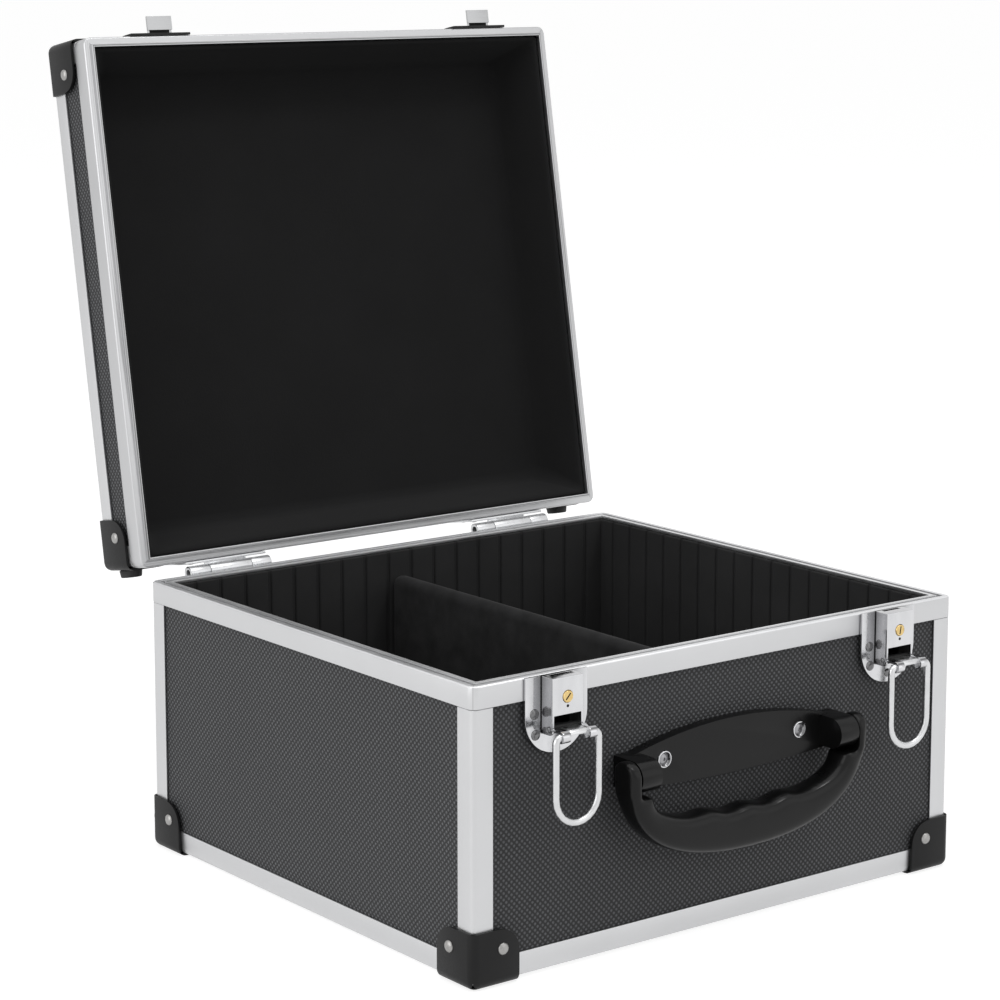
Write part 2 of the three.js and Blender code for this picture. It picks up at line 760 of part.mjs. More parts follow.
// Grip, in a frame whose origin is the middle of its axis, hanging down
function handleGrip() {
  const half_thick = grip_thickness / 2;
  const loop = new THREE.ExtrudeGeometry(gripOutline(), {
    depth: grip_thickness - grip_round * 2,
    bevelEnabled: true,
    bevelThickness: grip_round,
    bevelSize: grip_round,
    bevelOffset: -grip_round,
    bevelSegments: 3,
  });
  loop.translate(0, 0, grip_round - half_thick).rotateX(quarter_turn);
  const side = new THREE.Shape();
  side.moveTo(-half_thick, -grip_bottom - overrun);
  side.lineTo(half_thick, -grip_bottom - overrun);
  side.lineTo(half_thick, 0);
  side.absarc(0, 0, half_thick, 0, half_turn, false);
  let grip = solidOf(loop).intersect(solidOf(alongX(
    side, -grip_half_length - overrun, grip_half_length + overrun, arc_facets * 2,
  )));
  grip = grip.subtract(solidOf(block(
    -grip_ear_inside, -half_thick - overrun, -grip_shoulder,
    grip_ear_inside, half_thick + overrun, grip_top + overrun,
  )));
  const pin_length = boss_bore_depth - running_gap;
  for (const near of [grip_ear_inside - pin_length, -grip_ear_inside - grip_round / 2]) {
    const pin = alongX(disc(0, 0, grip_pin_radius), near, near + pin_length + grip_round / 2);
    grip = grip.add(solidOf(pin));
  }
  return geometryOf(grip);
}

// Outline of a hinge leaf: square along the barrel, round at the far corners
function leafOutline(top) {
  const half = hinge_width / 2;
  const far = -hinge_leaf_height;
  const radius = hinge_leaf_radius;
  const shape = new THREE.Shape();
  shape.moveTo(half, top);
  shape.lineTo(-half, top);
  shape.lineTo(-half, far + radius);
  shape.absarc(radius - half, far + radius, radius, half_turn, half_turn + quarter_turn, false);
  shape.absarc(half - radius, far + radius, radius, -quarter_turn, 0, false);
  return shape;
}

// A hinge leaf with its knuckles, in a frame whose origin is on the pin, leaf hanging down
function hingeLeaf(knuckles, top, heel) {
  let leaf = solidOf(alongY(leafOutline(top), -hinge_proud, hinge_leaf - hinge_proud));
  for (const [from, to] of knuckles) {
    const barrel = solidOf(alongX(disc(0, 0, knuckle_radius), from, to, arc_facets * 2));
    const web = solidOf(block(
      from, hinge_leaf / 2 - hinge_proud, -knuckle_radius, to, 0, hinge_leaf - knuckle_radius,
    ));
    leaf = leaf.add(barrel).add(web);
    if (heel) {
      leaf = leaf.add(solidOf(alongX(heel, from, to)));
    }
  }
  const bore = disc(0, 0, hinge_pin_radius + running_gap);
  return geometryOf(leaf.subtract(solidOf(alongX(
    bore, -hinge_width / 2 - overrun, hinge_width / 2 + overrun, arc_facets * 2,
  ))));
}

// The stop heel on the lid's knuckle comes to rest against the body's leaf when the lid is open
function stopHeel() {
  const reach = hinge_proud - hinge_leaf - running_gap;
  const across = [
    [0, -stop_heel_bottom], [0, -stop_heel_top], [-reach, -stop_heel_top], [-reach, -stop_heel_bottom],
  ];
  return across.map(([y, z]) => [
    y * Math.cos(lid_open) - z * Math.sin(lid_open),
    y * Math.sin(lid_open) + z * Math.cos(lid_open),
  ]);
}

// Hinge parts of one side. The leaf of the lid is the same shape turned over.
function bodyHinge(group, hinge_x, name) {
  const half = hinge_width / 2;
  const leaf = piece(`${name}_body_hinge_leaf`, hingeLeaf(
    [[-half, end_knuckle - half], [half - end_knuckle, half]], hinge_drop - hinge_leaf_gap / 2, null,
  ), 'chrome');
  leaf.position.set(hinge_x, hinge_y, hinge_z);
  const pin = piece(`${name}_hinge_pin`, alongX(
    disc(0, 0, hinge_pin_radius), hinge_pin_recess - half, half - hinge_pin_recess, arc_facets * 2,
  ), 'steel');
  pin.position.copy(leaf.position);
  group.add(leaf, pin);
}

function lidHinge(group, hinge_x, name) {
  const inner = hinge_width / 2 - end_knuckle - running_gap;
  const over = stopHeel().map(([y, z]) => [y, -z]).reverse();
  const leaf = piece(`${name}_lid_hinge_leaf`, hingeLeaf(
    [[-inner, inner]], -hinge_drop - seam_gap - hinge_leaf_gap / 2, outline(over),
  ).rotateY(half_turn), 'chrome');
  leaf.position.set(hinge_x, hinge_y, -hinge_drop - seam_gap);
  group.add(leaf);
}

// Divider: a board standing front to back, with a rounded top edge
function dividerGeometry(from, to) {
  const half = divider_thickness / 2;
  const shape = new THREE.Shape();
  shape.moveTo(-half, from);
  shape.lineTo(half, from);
  shape.absarc(0, to - half, half, 0, half_turn, false);
  const run = half_depth - lining_face - divider_gap;
  return alongY(shape, -run, run, arc_facets * 2);
}

// Tray that lines the inside of the lid, with sloping padded walls. Below the corner posts it
// reaches out to the boards, so that its edge shows right inside the rim.
function lidTray() {
  const top = lid_height - rail_core - seat_gap;
  const floor = top - tray_floor;
  const outer = lining_inset;
  const edge = panel_inset + panel_thickness + seat_gap;
  const step = rim_height - seat_gap;
  const walls = solidOf(sweptFrame([
    [edge, tray_recess], [edge + tray_edge, tray_recess], [outer + tray_slope, floor],
    [outer + tray_slope, top], [outer, top], [outer, step], [edge, step],
  ], rail_radius));
  const run_x = half_width - outer - tray_edge;
  const run_y = half_depth - outer - tray_edge;
  return geometryOf(walls.add(solidOf(block(-run_x, -run_y, floor, run_x, run_y, top))));
}

// Body, built up from the underside of its base frame
const assembly = new THREE.Group();
assembly.name = 'aluminium_cd_case';
boards(
  assembly, 'body', 'bottom', rail_core + fit_gap, body_height - rim_web - fit_gap, panel_inset,
);
assembly.add(piece('body_base_frame', sweptFrame(railSection(), rail_radius), 'aluminium'));
const body_rim = bodyRimSection().map(([inset, z]) => [inset, body_height + z]);
assembly.add(piece('body_rim_frame', sweptFrame(body_rim, rim_corner_radius), 'aluminium'));
for (const corner of corners) {
  assembly.add(cornerPost(
    `body_corner_post_${corner.name}`, corner, rail_reach + fit_gap, body_height - rim_height - fit_gap,
  ));
}
assembly.add(...protectors('body', 0, false));
bodyLinings(assembly);
const divider_from = rail_core + seat_gap + floor_lining_thickness + seat_gap;
const divider = piece('divider', dividerGeometry(divider_from, body_height - divider_drop), 'lining');
divider.position.x = divider_shift;
assembly.add(divider);
const sides = [[-1, 'left', left_hinge_x], [1, 'right', right_hinge_x]];
for (const [side, name, hinge_x] of sides) {
  assembly.add(latch(side, name));
  bodyHinge(assembly, hinge_x, name);
  assembly.add(backFoot(`body_back_foot_${name}`, side, foot_end_inset));
}

// Handle on the front
const bracket = piece('handle_bracket', handleBracket(), 'plastic');
bracket.position.set(0, -half_depth - boss_proud, body_height - handle_drop);
const grip = piece('handle_grip', handleGrip(), 'plastic');
grip.position.copy(bracket.position);
assembly.add(bracket, grip);

// Lid, built closed and turned open about the hinge axis
const lid_swing = new THREE.Group();
lid_swing.name = 'lid_swing';
lid_swing.position.set(0, hinge_y, hinge_z);
lid_swing.rotation.x = -lid_open;
const lid = new THREE.Group();
lid.name = 'lid';
lid.position.set(0, -hinge_y, hinge_drop + seam_gap);
boards(
  lid, 'lid', 'top', rim_web + fit_gap, lid_height - rail_core - fit_gap,
  lid_height - panel_inset - panel_thickness,
);
lid.add(piece('lid_top_frame', sweptFrame(turnedOver(railSection(), lid_height), rail_radius), 'aluminium'));
lid.add(piece('lid_rim_frame', sweptFrame(lidRimSection(), rim_corner_radius), 'aluminium'));
for (const corner of corners) {
  lid.add(cornerPost(
    `lid_corner_post_${corner.name}`, corner, rim_height + fit_gap, lid_height - rail_reach - fit_gap,
  ));
}
lid.add(...protectors('lid', lid_height, true));
lid.add(piece('lid_lining', lidTray(), 'lining'));
for (const [side, name, hinge_x] of sides) {
  const hook = piece(`${name}_lid_catch`, lidCatch(), 'chrome');
  hook.position.set(side * latch_x, front_face, 0);
  lid.add(hook);
  lidHinge(lid, hinge_x, name);
  lid.add(backFoot(`lid_back_foot_${name}`, side, lid_height - foot_end_inset));
}
lid_swing.add(lid);
assembly.add(lid_swing);

// The open case stands on the floor, in the middle of the room that it takes up
const room = new THREE.Box3().setFromObject(assembly, true);
assembly.position.set(0, -(room.min.y + room.max.y) / 2, -room.min.z);
const cd_case = new THREE.Group();
cd_case.name = 'cd_case';
cd_case.add(assembly);

export default cd_case;
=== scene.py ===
# An aluminium case for compact discs, standing open.
# Body and lid are boxes of dark boards held in aluminium edge profiles. The case is dressed in the order
# in which it is put together: profiles, boards, corner protectors, back feet, hinges, linings, divider,
# lid tray, latches, handle.
import json
import math
import bmesh
import bpy
from mathutils import Matrix, Vector

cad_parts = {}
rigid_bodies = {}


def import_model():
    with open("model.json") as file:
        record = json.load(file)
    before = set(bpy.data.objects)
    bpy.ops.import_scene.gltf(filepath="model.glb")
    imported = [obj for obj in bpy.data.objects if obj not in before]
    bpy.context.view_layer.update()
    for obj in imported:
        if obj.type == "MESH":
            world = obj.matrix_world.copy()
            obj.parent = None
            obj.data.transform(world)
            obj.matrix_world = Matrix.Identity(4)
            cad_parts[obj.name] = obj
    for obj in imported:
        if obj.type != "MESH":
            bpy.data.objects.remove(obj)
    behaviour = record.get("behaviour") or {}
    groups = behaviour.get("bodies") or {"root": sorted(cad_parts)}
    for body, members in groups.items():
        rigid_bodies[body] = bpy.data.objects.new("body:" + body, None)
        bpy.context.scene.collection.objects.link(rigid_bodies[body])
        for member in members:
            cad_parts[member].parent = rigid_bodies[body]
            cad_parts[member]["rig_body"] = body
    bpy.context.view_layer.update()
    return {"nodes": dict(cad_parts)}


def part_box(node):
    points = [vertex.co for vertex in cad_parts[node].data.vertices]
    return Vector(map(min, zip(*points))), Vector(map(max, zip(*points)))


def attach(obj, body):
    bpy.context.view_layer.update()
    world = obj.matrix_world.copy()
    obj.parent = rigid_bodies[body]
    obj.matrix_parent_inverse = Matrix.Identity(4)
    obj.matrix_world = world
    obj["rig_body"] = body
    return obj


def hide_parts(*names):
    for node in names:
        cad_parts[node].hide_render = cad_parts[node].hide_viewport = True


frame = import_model()

# The case stands on a plain white floor in soft light. The window side is on the left, so the left wall
# is brighter than the front. Floor and room show as white, and the floor keeps the case's shadow.
mm = 0.001
floor_height, floor_reach = -0.02 * mm, 30
floor_tone, floor_glow_strength, room_light = 0.42, 0.8, 0.45
floor_mesh = bpy.data.meshes.new("floor")
floor_mesh.from_pydata([(-floor_reach, -floor_reach, floor_height), (floor_reach, -floor_reach, floor_height),
                        (floor_reach, floor_reach, floor_height), (-floor_reach, floor_reach, floor_height)],
                       [], [(0, 1, 2, 3)])
floor = bpy.data.objects.new("floor", floor_mesh)
bpy.context.scene.collection.objects.link(floor)
floor_paint = bpy.data.materials.new("pale_floor")
floor_paint.use_nodes = True
tree = floor_paint.node_tree
tree.nodes.clear()
floor_out = tree.nodes.new("ShaderNodeOutputMaterial")
floor_matt = tree.nodes.new("ShaderNodeBsdfDiffuse")
floor_matt.inputs["Color"].default_value = (floor_tone, floor_tone, floor_tone, 1)
floor_glow = tree.nodes.new("ShaderNodeEmission")
floor_rays = tree.nodes.new("ShaderNodeLightPath")
floor_share = tree.nodes.new("ShaderNodeMath")
floor_share.operation = "MAXIMUM"
floor_level = tree.nodes.new("ShaderNodeMath")
floor_level.operation = "MULTIPLY"
floor_level.inputs[1].default_value = floor_glow_strength
floor_sum = tree.nodes.new("ShaderNodeAddShader")
tree.links.new(floor_rays.outputs["Is Camera Ray"], floor_share.inputs[0])
tree.links.new(floor_rays.outputs["Is Glossy Ray"], floor_share.inputs[1])
tree.links.new(floor_share.outputs[0], floor_level.inputs[0])
tree.links.new(floor_level.outputs[0], floor_glow.inputs["Strength"])
tree.links.new(floor_matt.outputs[0], floor_sum.inputs[0])
tree.links.new(floor_glow.outputs[0], floor_sum.inputs[1])
tree.links.new(floor_sum.outputs[0], floor_out.inputs["Surface"])
floor_mesh.materials.append(floor_paint)

sky = bpy.data.worlds.new("soft_room")
bpy.context.scene.world = sky
sky.use_nodes = True
tree = sky.node_tree
room = tree.nodes["Background"]
room.inputs["Color"].default_value = (1, 1, 1, 1)
room_rays = tree.nodes.new("ShaderNodeLightPath")
room_share = tree.nodes.new("ShaderNodeMath")
room_share.operation = "MAXIMUM"
room_level = tree.nodes.new("ShaderNodeMapRange")
room_level.inputs["To Min"].default_value = room_light
room_level.inputs["To Max"].default_value = 1.0
tree.links.new(room_rays.outputs["Is Camera Ray"], room_share.inputs[0])
tree.links.new(room_rays.outputs["Is Glossy Ray"], room_share.inputs[1])
tree.links.new(room_share.outputs[0], room_level.inputs["Value"])
tree.links.new(room_level.outputs["Result"], room.inputs["Strength"])

# The body's own frame of measures: across its width, from the middle of its depth, and up from the
# underside of its bottom edging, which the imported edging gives.
edging_low, edging_high = (Vector(corner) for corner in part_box("body_base_frame"))
body_place = Matrix.Translation((0, (edging_low.y + edging_high.y) / 2, edging_low.z))


def soft_lamp(name, place, aim, size, power):
    """A flat lamp. Place, aim and size are in metres, the power in watts."""
    lamp = bpy.data.lights.new(name, "AREA")
    lamp.shape = "RECTANGLE"
    lamp.size, lamp.size_y = size
    lamp.energy = power
    holder = bpy.data.objects.new(name, lamp)
    place, aim = body_place @ Vector(place), body_place @ Vector(aim)
    holder.location = place
    holder.rotation_euler = (aim - place).to_track_quat("-Z", "Y").to_euler()
    bpy.context.scene.collection.objects.link(holder)


soft_lamp("left_window", place=(-2.9, 0.1, 1.2), aim=(0, 0, 0.15), size=(3.0, 2.4), power=32)
soft_lamp("overhead_panel", place=(-0.2, -0.4, 2.9), aim=(0, 0, 0.2), size=(3.0, 2.6), power=22)
soft_lamp("right_softbox", place=(1.0, -1.2, 2.8), aim=(0, -0.15, 0.1), size=(0.45, 0.45), power=9)
soft_lamp("front_fill", place=(1.4, -3.0, 1.2), aim=(0, 0, 0.2), size=(2.6, 2.2), power=9)

# The camera stands low in front of the near left corner, a little above the case. Its shift keeps the
# case's uprights nearly upright in the picture.
turn, rise = math.radians(-37.515), math.radians(8.962)
camera_distance, camera_left, camera_lift = 1.7148, 0.02676, 0.26304
towards_camera = Vector((math.sin(turn) * math.cos(rise), -math.cos(turn) * math.cos(rise), math.sin(rise)))
camera_right = Vector((math.cos(turn), math.sin(turn), 0))
camera_up = towards_camera.cross(camera_right)
camera = bpy.data.objects.new("camera", bpy.data.cameras.new("camera"))
camera.location = body_place @ (towards_camera * camera_distance - camera_right * camera_left
                                + camera_up * camera_lift)
camera.rotation_euler = Matrix((camera_right, camera_up, towards_camera)).transposed().to_euler()
camera.data.sensor_width = 36
camera.data.lens = 106.01
camera.data.shift_y = -0.1
camera.data.clip_end = 100
bpy.context.scene.collection.objects.link(camera)
bpy.context.scene.camera = camera
bpy.context.scene.view_settings.view_transform = "Standard"

# Edge profiles: satin anodised aluminium extrusions, sawn to length, with the rails mitred at the corners
# and the sharp edges just broken. They are pressed over the edges of the boards.


def plain_paint(name, colour, roughness, metallic=0.0, shine=0.5):
    """A new material of one colour, with its node tree and its shader for what is added to it."""
    paint = bpy.data.materials.new(name)
    paint.use_nodes = True
    shader = paint.node_tree.nodes["Principled BSDF"]
    shader.inputs["Base Color"].default_value = (*colour, 1)
    shader.inputs["Roughness"].default_value = roughness
    shader.inputs["Metallic"].default_value = metallic
    shader.inputs["Specular IOR Level"].default_value = shine
    return paint, paint.node_tree, shader


def grain(tree, size, detail=3.0, stretch=(1, 1, 1)):
    """A soft unevenness of about the given size in metres, from 0 to 1."""
    where = tree.nodes.new("ShaderNodeTexCoord")
    scaled = tree.nodes.new("ShaderNodeMapping")
    scaled.inputs["Scale"].default_value = stretch
    speckle = tree.nodes.new("ShaderNodeTexNoise")
    speckle.inputs["Scale"].default_value = 1 / size
    speckle.inputs["Detail"].default_value = detail
    tree.links.new(where.outputs["Object"], scaled.inputs["Vector"])
    tree.links.new(scaled.outputs["Vector"], speckle.inputs["Vector"])
    return speckle.outputs["Fac"]


def spread(tree, value, low, high, start=0.3, end=0.7):
    """The value laid out anew, so that its run from start to end goes from low to high."""
    ranged = tree.nodes.new("ShaderNodeMapRange")
    ranged.inputs["From Min"].default_value = start
    ranged.inputs["From Max"].default_value = end
    ranged.inputs["To Min"].default_value = low
    ranged.inputs["To Max"].default_value = high
    tree.links.new(value, ranged.inputs["Value"])
    return ranged.outputs["Result"]


def tint(tree, value, dark, light):
    """A colour that goes from dark to light as the value goes from 0 to 1."""
    blend = tree.nodes.new("ShaderNodeMix")
    blend.data_type = "RGBA"
    blend.inputs["A"].default_value = (*dark, 1)
    blend.inputs["B"].default_value = (*light, 1)
    tree.links.new(value, blend.inputs["Factor"])
    return blend.outputs["Result"]


def relief(tree, shader, height, depth, strength=1.0):
    """Lets the surface look raised where the height is great, by up to the depth in metres."""
    bump = tree.nodes.new("ShaderNodeBump")
    bump.inputs["Distance"].default_value = depth
    bump.inputs["Strength"].default_value = strength
    tree.links.new(height, bump.inputs["Height"])
    tree.links.new(bump.outputs["Normal"], shader.inputs["Normal"])


def multiply(tree, first, second):
    """One colour darkened by another."""
    blend = tree.nodes.new("ShaderNodeMix")
    blend.data_type = "RGBA"
    blend.blend_type = "MULTIPLY"
    blend.inputs["Factor"].default_value = 1
    tree.links.new(first, blend.inputs["A"])
    tree.links.new(second, blend.inputs["B"])
    return blend.outputs["Result"]


def worked(tree, operation, first, second=None):
    """A number worked out from one or two others."""
    step = tree.nodes.new("ShaderNodeMath")
    step.operation = operation
    for socket, value in zip(step.inputs, (first, second)):
        if isinstance(value, bpy.types.NodeSocket):
            tree.links.new(value, socket)
        elif value is not None:
            socket.default_value = value
    return step.outputs[0]


def aluminium_paint(name, mitred, tone=0.57, matt=0.32, step_line=None):
    """Anodised aluminium. Where it is mitred, its corners show saw joints, and a step is marked by a line of
    painted shade.
    """
    joint_tone, step_shade_tone = 0.62, 0.5
    paint, tree, shader = plain_paint(name, (tone, tone, tone), roughness=0.36, metallic=1.0)
    haze = grain(tree, 30 * mm, 4)
    tree.links.new(spread(tree, haze, matt, matt + 0.08), shader.inputs["Roughness"])
    dull_tone, bright_tone, cool = tone * 0.957, tone * 1.053, (1, 1.005, 1.02)
    colour = tint(tree, haze, [dull_tone * share for share in cool], [bright_tone * share for share in cool])
    relief(tree, shader, grain(tree, 0.4 * mm, 2), 0.02 * mm, 0.35)
    if mitred:
        from_sides = tree.nodes.new("ShaderNodeUVMap")
        parts = tree.nodes.new("ShaderNodeSeparateXYZ")
        tree.links.new(from_sides.outputs["UV"], parts.inputs["Vector"])
        past_joint = worked(tree, "SUBTRACT", parts.outputs["X"], parts.outputs["Y"])
        off_joint = worked(tree, "ABSOLUTE", past_joint)
        joint = spread(tree, off_joint, 0, 1, 0.12 * mm, 0.3 * mm)
        colour = multiply(tree, colour, tint(tree, joint, (joint_tone, joint_tone, joint_tone), (1, 1, 1)))
        # A line of painted shade along the step.
        if step_line:
            inward = worked(tree, "MINIMUM", parts.outputs["X"], parts.outputs["Y"])
            off_line = worked(tree, "ABSOLUTE", worked(tree, "SUBTRACT", inward, step_line))
            line = spread(tree, off_line, 0, 1, 0.2 * mm, 0.45 * mm)
            colour = multiply(tree, colour, tint(tree, line, (step_shade_tone, step_shade_tone, step_shade_tone), (1, 1, 1)))
    tree.links.new(colour, shader.inputs["Base Color"])
    return paint


satin_aluminium = aluminium_paint("satin_aluminium", mitred=False)
mitred_aluminium = aluminium_paint("mitred_satin_aluminium", mitred=True)
# The rim's top bead is given a lighter tone, a painted highlight.
painted_highlight_bead = aluminium_paint("highlight_painted_rim_bead", mitred=True, tone=0.7, matt=0.42)
stepped_aluminium = aluminium_paint("stepped_satin_aluminium", mitred=True, tone=0.51, matt=0.34,
                                    step_line=4.5 * mm)
# Painted shade: a near-black paint put where there is only shade, in grooves, hollows, slots and gaps.
painted_shade, tree, shader = plain_paint("painted_shade", (0.02, 0.02, 0.02), roughness=0.6, shine=0.2)
tree.links.new(tint(tree, grain(tree, 2 * mm, 3), (0.014, 0.014, 0.014), (0.03, 0.03, 0.03)),
               shader.inputs["Base Color"])


def finished_copy(node, name, paint, edge=0.0, steps=2, sharp=35):
    """The node's own shape with its edges broken, as a piece that stands for it."""
    source = frame["nodes"][node]
    shape = bmesh.new()
    shape.from_mesh(source.data)
    bmesh.ops.remove_doubles(shape, verts=shape.verts, dist=0.002 * mm)
    bmesh.ops.dissolve_limit(shape, angle_limit=math.radians(1), verts=shape.verts, edges=shape.edges)
    if edge:
        corners = [e for e in shape.edges
                   if len(e.link_faces) == 2 and e.calc_face_angle(0) > math.radians(sharp)]
        bmesh.ops.bevel(shape, geom=corners, offset=edge, segments=steps, profile=0.6, affect="EDGES",
                        clamp_overlap=True)
    mesh = bpy.data.meshes.new(name)
    shape.to_mesh(mesh)
    shape.free()
    mesh.shade_smooth()
    mesh.set_sharp_from_angle(angle=math.radians(sharp))
    mesh.materials.clear()
    mesh.materials.append(paint)
    piece = bpy.data.objects.new(name, mesh)
    bpy.context.scene.collection.objects.link(piece)
    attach(piece, source["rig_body"])
    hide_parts(node)
    return piece


corner_names = ("front_left", "front_right", "back_right", "back_left")
for part in ("body", "lid"):
    for corner_name in corner_names:
        finished_copy(f"{part}_corner_post_{corner_name}", f"{part}_post_{corner_name}", satin_aluminium,
                      edge=0.25 * mm, steps=1)
half_width, half_depth = 170 * mm, 155 * mm
body_height, lid_height = 157 * mm, 43 * mm
hinge_y, hinge_z = 162.25 * mm, 156 * mm
rim_to_hinge = 1.4 * mm
lid_open = math.radians(100.1)
lid_place = (body_place @ Matrix.Translation((0, hinge_y, hinge_z)) @ Matrix.Rotation(-lid_open, 4, "X")
             @ Matrix.Translation((0, -hinge_y, rim_to_hinge)))


def in_box(piece, place, low, high):
    """The piece's faces that lie wholly between two corners, in the measures of body or lid."""
    back = place.inverted()
    spots = [back @ vertex.co for vertex in piece.data.vertices]
    return [face for face in piece.data.polygons
            if all(low[k] <= spots[v][k] <= high[k] for v in face.vertices for k in range(3))]


def lay_mitres(mesh, place):
    """Lays on a frame how far each point is from the two nearest sides, so that its corners show joints."""
    layer = mesh.uv_layers.new(name="mitres")
    back = place.inverted()
    for loop in mesh.loops:
        spot = back @ mesh.vertices[loop.vertex_index].co
        layer.data[loop.index].uv = (half_width - abs(spot.x), half_depth - abs(spot.y))


# Paint numbers on the body rim: painted shade down in its groove, painted highlight on its top bead.
shade_number, highlight_bead_number = 1, 2
bead_depth = 0.5 * mm
groove_depth, groove_inset, groove_reach = 2.2 * mm, 3 * mm, 6 * mm
for node, name, place, edge in (("body_base_frame", "body_bottom_edging", body_place, 0.25 * mm),
                                ("lid_top_frame", "lid_top_edging", lid_place, 0.25 * mm),
                                ("body_rim_frame", "body_rim_profile", body_place, 0.3 * mm),
                                ("lid_rim_frame", "lid_rim_profile", lid_place, 0.3 * mm)):
    paint = stepped_aluminium if node == "lid_rim_frame" else mitred_aluminium
    profile = finished_copy(node, name, paint, edge, steps=2)
    lay_mitres(profile.data, place)
    if node == "body_rim_frame":
        profile.data.materials.append(painted_shade)
        profile.data.materials.append(painted_highlight_bead)
        # Upward faces at the rim's top get the painted highlight.
        for face in profile.data.polygons:
            if face.normal.z > 0.3 and (place.inverted() @ face.center).z > body_height - bead_depth:
                face.material_index = highlight_bead_number
        # Faces down in the rim's groove get painted shade.
        groove_low = (-half_width + groove_inset, -half_depth + groove_inset, body_height - groove_depth)
        groove_high = (half_width - groove_inset, half_depth - groove_inset, body_height - bead_depth)
        for face in in_box(profile, place, groove_low, groove_high):
            middle = place.inverted() @ face.center
            if min(half_width - abs(middle.x), half_depth - abs(middle.y)) < groove_reach:
                face.material_index = shade_number

# Boards: charcoal laminate with a fine grid of raised dots, staggered like bricks, on a fibre core.
# The dot tops are painted much lighter than the ground between them, a painted highlight, so a board seen at
# a slant looks paler than one seen face on.
dot_spacing = 2.4 * mm
dot_top_share, dot_foot_share = 0.16, 0.42
# Ground and dot-top tones; the lighter dot tops are a painted highlight.
between_dots, lit_dot_tops = (0.038, 0.0384, 0.0398), (0.147, 0.151, 0.16)
dotted_board, tree, shader = plain_paint("dotted_charcoal_board", (0.05, 0.05, 0.052), roughness=0.5,
                                         shine=0.3)
across = tree.nodes.new("ShaderNodeUVMap")
staggered = tree.nodes.new("ShaderNodeMapping")
staggered.inputs["Rotation"].default_value = (0, 0, math.radians(45))
dots = tree.nodes.new("ShaderNodeTexVoronoi")
dots.voronoi_dimensions = "2D"
dots.inputs["Randomness"].default_value = 0
dots.inputs["Scale"].default_value = 1 / dot_spacing
tree.links.new(across.outputs["UV"], staggered.inputs["Vector"])
tree.links.new(staggered.outputs["Vector"], dots.inputs["Vector"])
dome = spread(tree, dots.outputs["Distance"], 1, 0, dot_top_share, dot_foot_share)
mottle = grain(tree, 50 * mm, 3)
dot_highlight_tone = tint(tree, dome, between_dots, lit_dot_tops)
tree.links.new(multiply(tree, dot_highlight_tone, tint(tree, mottle, (0.86, 0.86, 0.86), (1, 1, 1))),
               shader.inputs["Base Color"])
tree.links.new(spread(tree, dome, 0.7, 0.42, 0, 1), shader.inputs["Roughness"])
relief(tree, shader, dome, 0.35 * mm, 0.9)


def lay_pattern(mesh, along):
    """Lays the board's pattern on each face in metres, with one direction of it along a line."""
    layer = mesh.uv_layers.new(name="pattern")
    for face in mesh.polygons:
        first = along - face.normal * along.dot(face.normal)
        if first.length < 0.1:
            first = face.normal.orthogonal()
        first.normalize()
        second = face.normal.cross(first)
        for loop in face.loop_indices:
            spot = mesh.vertices[mesh.loops[loop].vertex_index].co
            layer.data[loop].uv = (spot.dot(first), spot.dot(second))


for part, place, flat in (("body", body_place, "bottom"), ("lid", lid_place, "top")):
    for side in ("front", "back", "left", "right", flat):
        board = finished_copy(f"{part}_{side}_panel", f"{part}_{side}_board", dotted_board,
                              edge=0.15 * mm, steps=1)
        run = Vector((1, 0, 0)) if side in ("front", "back", flat) else place.to_3x3() @ Vector((0, 1, 0))
        lay_pattern(board.data, run)

# Corner protectors: moulded black plastic shells with a fine grain. A domed silver rivet holds each one
# through its side flange, and the front ones have a second rivet through the front flange.
black_plastic, tree, shader = plain_paint("black_corner_plastic", (0.011, 0.011, 0.0115), roughness=0.42,
                                          shine=0.2)
pores = grain(tree, 0.9 * mm, 4)
tree.links.new(tint(tree, grain(tree, 20 * mm, 2), (0.009, 0.009, 0.0095), (0.014, 0.014, 0.0145)),
               shader.inputs["Base Color"])
tree.links.new(spread(tree, pores, 0.36, 0.52), shader.inputs["Roughness"])
relief(tree, shader, pores, 0.06 * mm, 0.5)

rivet_steel, tree, shader = plain_paint("dull_rivet_steel", (0.33, 0.33, 0.33), roughness=0.3, metallic=1.0)
wear = grain(tree, 2 * mm, 4)
tree.links.new(spread(tree, wear, 0.24, 0.4), shader.inputs["Roughness"])
tree.links.new(tint(tree, wear, (0.27, 0.265, 0.26), (0.4, 0.395, 0.385)), shader.inputs["Base Color"])


def turned(name, profile, place, paint, body, sides=28):
    """A piece turned about its own Z from a profile of [radius, height] points."""
    shape = bmesh.new()
    rings = []
    for radius, height in profile:
        if radius == 0:
            rings.append([shape.verts.new((0, 0, height))])
        else:
            rings.append([shape.verts.new((radius * math.cos(2 * math.pi * k / sides),
                                           radius * math.sin(2 * math.pi * k / sides), height))
                          for k in range(sides)])
    for lower, upper in zip(rings, rings[1:]):
        for k in range(sides):
            near = (lower[k % len(lower)], lower[(k + 1) % len(lower)])
            far = (upper[(k + 1) % len(upper)], upper[k % len(upper)])
            ring = list(dict.fromkeys((*near, *far)))
            if len(ring) > 2:
                shape.faces.new(ring)
    bmesh.ops.recalc_face_normals(shape, faces=shape.faces)
    mesh = bpy.data.meshes.new(name)
    shape.to_mesh(mesh)
    shape.free()
    mesh.transform(place)
    mesh.shade_smooth()
    mesh.set_sharp_from_angle(angle=math.radians(40))
    mesh.materials.append(paint)
    piece = bpy.data.objects.new(name, mesh)
    bpy.context.scene.collection.objects.link(piece)
    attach(piece, body)
    return piece


def facing(spot, outward):
    """Where a turned piece goes: its foot on the spot, its Z pointing outward."""
    return Matrix.Translation(spot) @ Vector(outward).to_track_quat("Z", "Y").to_matrix().to_4x4()


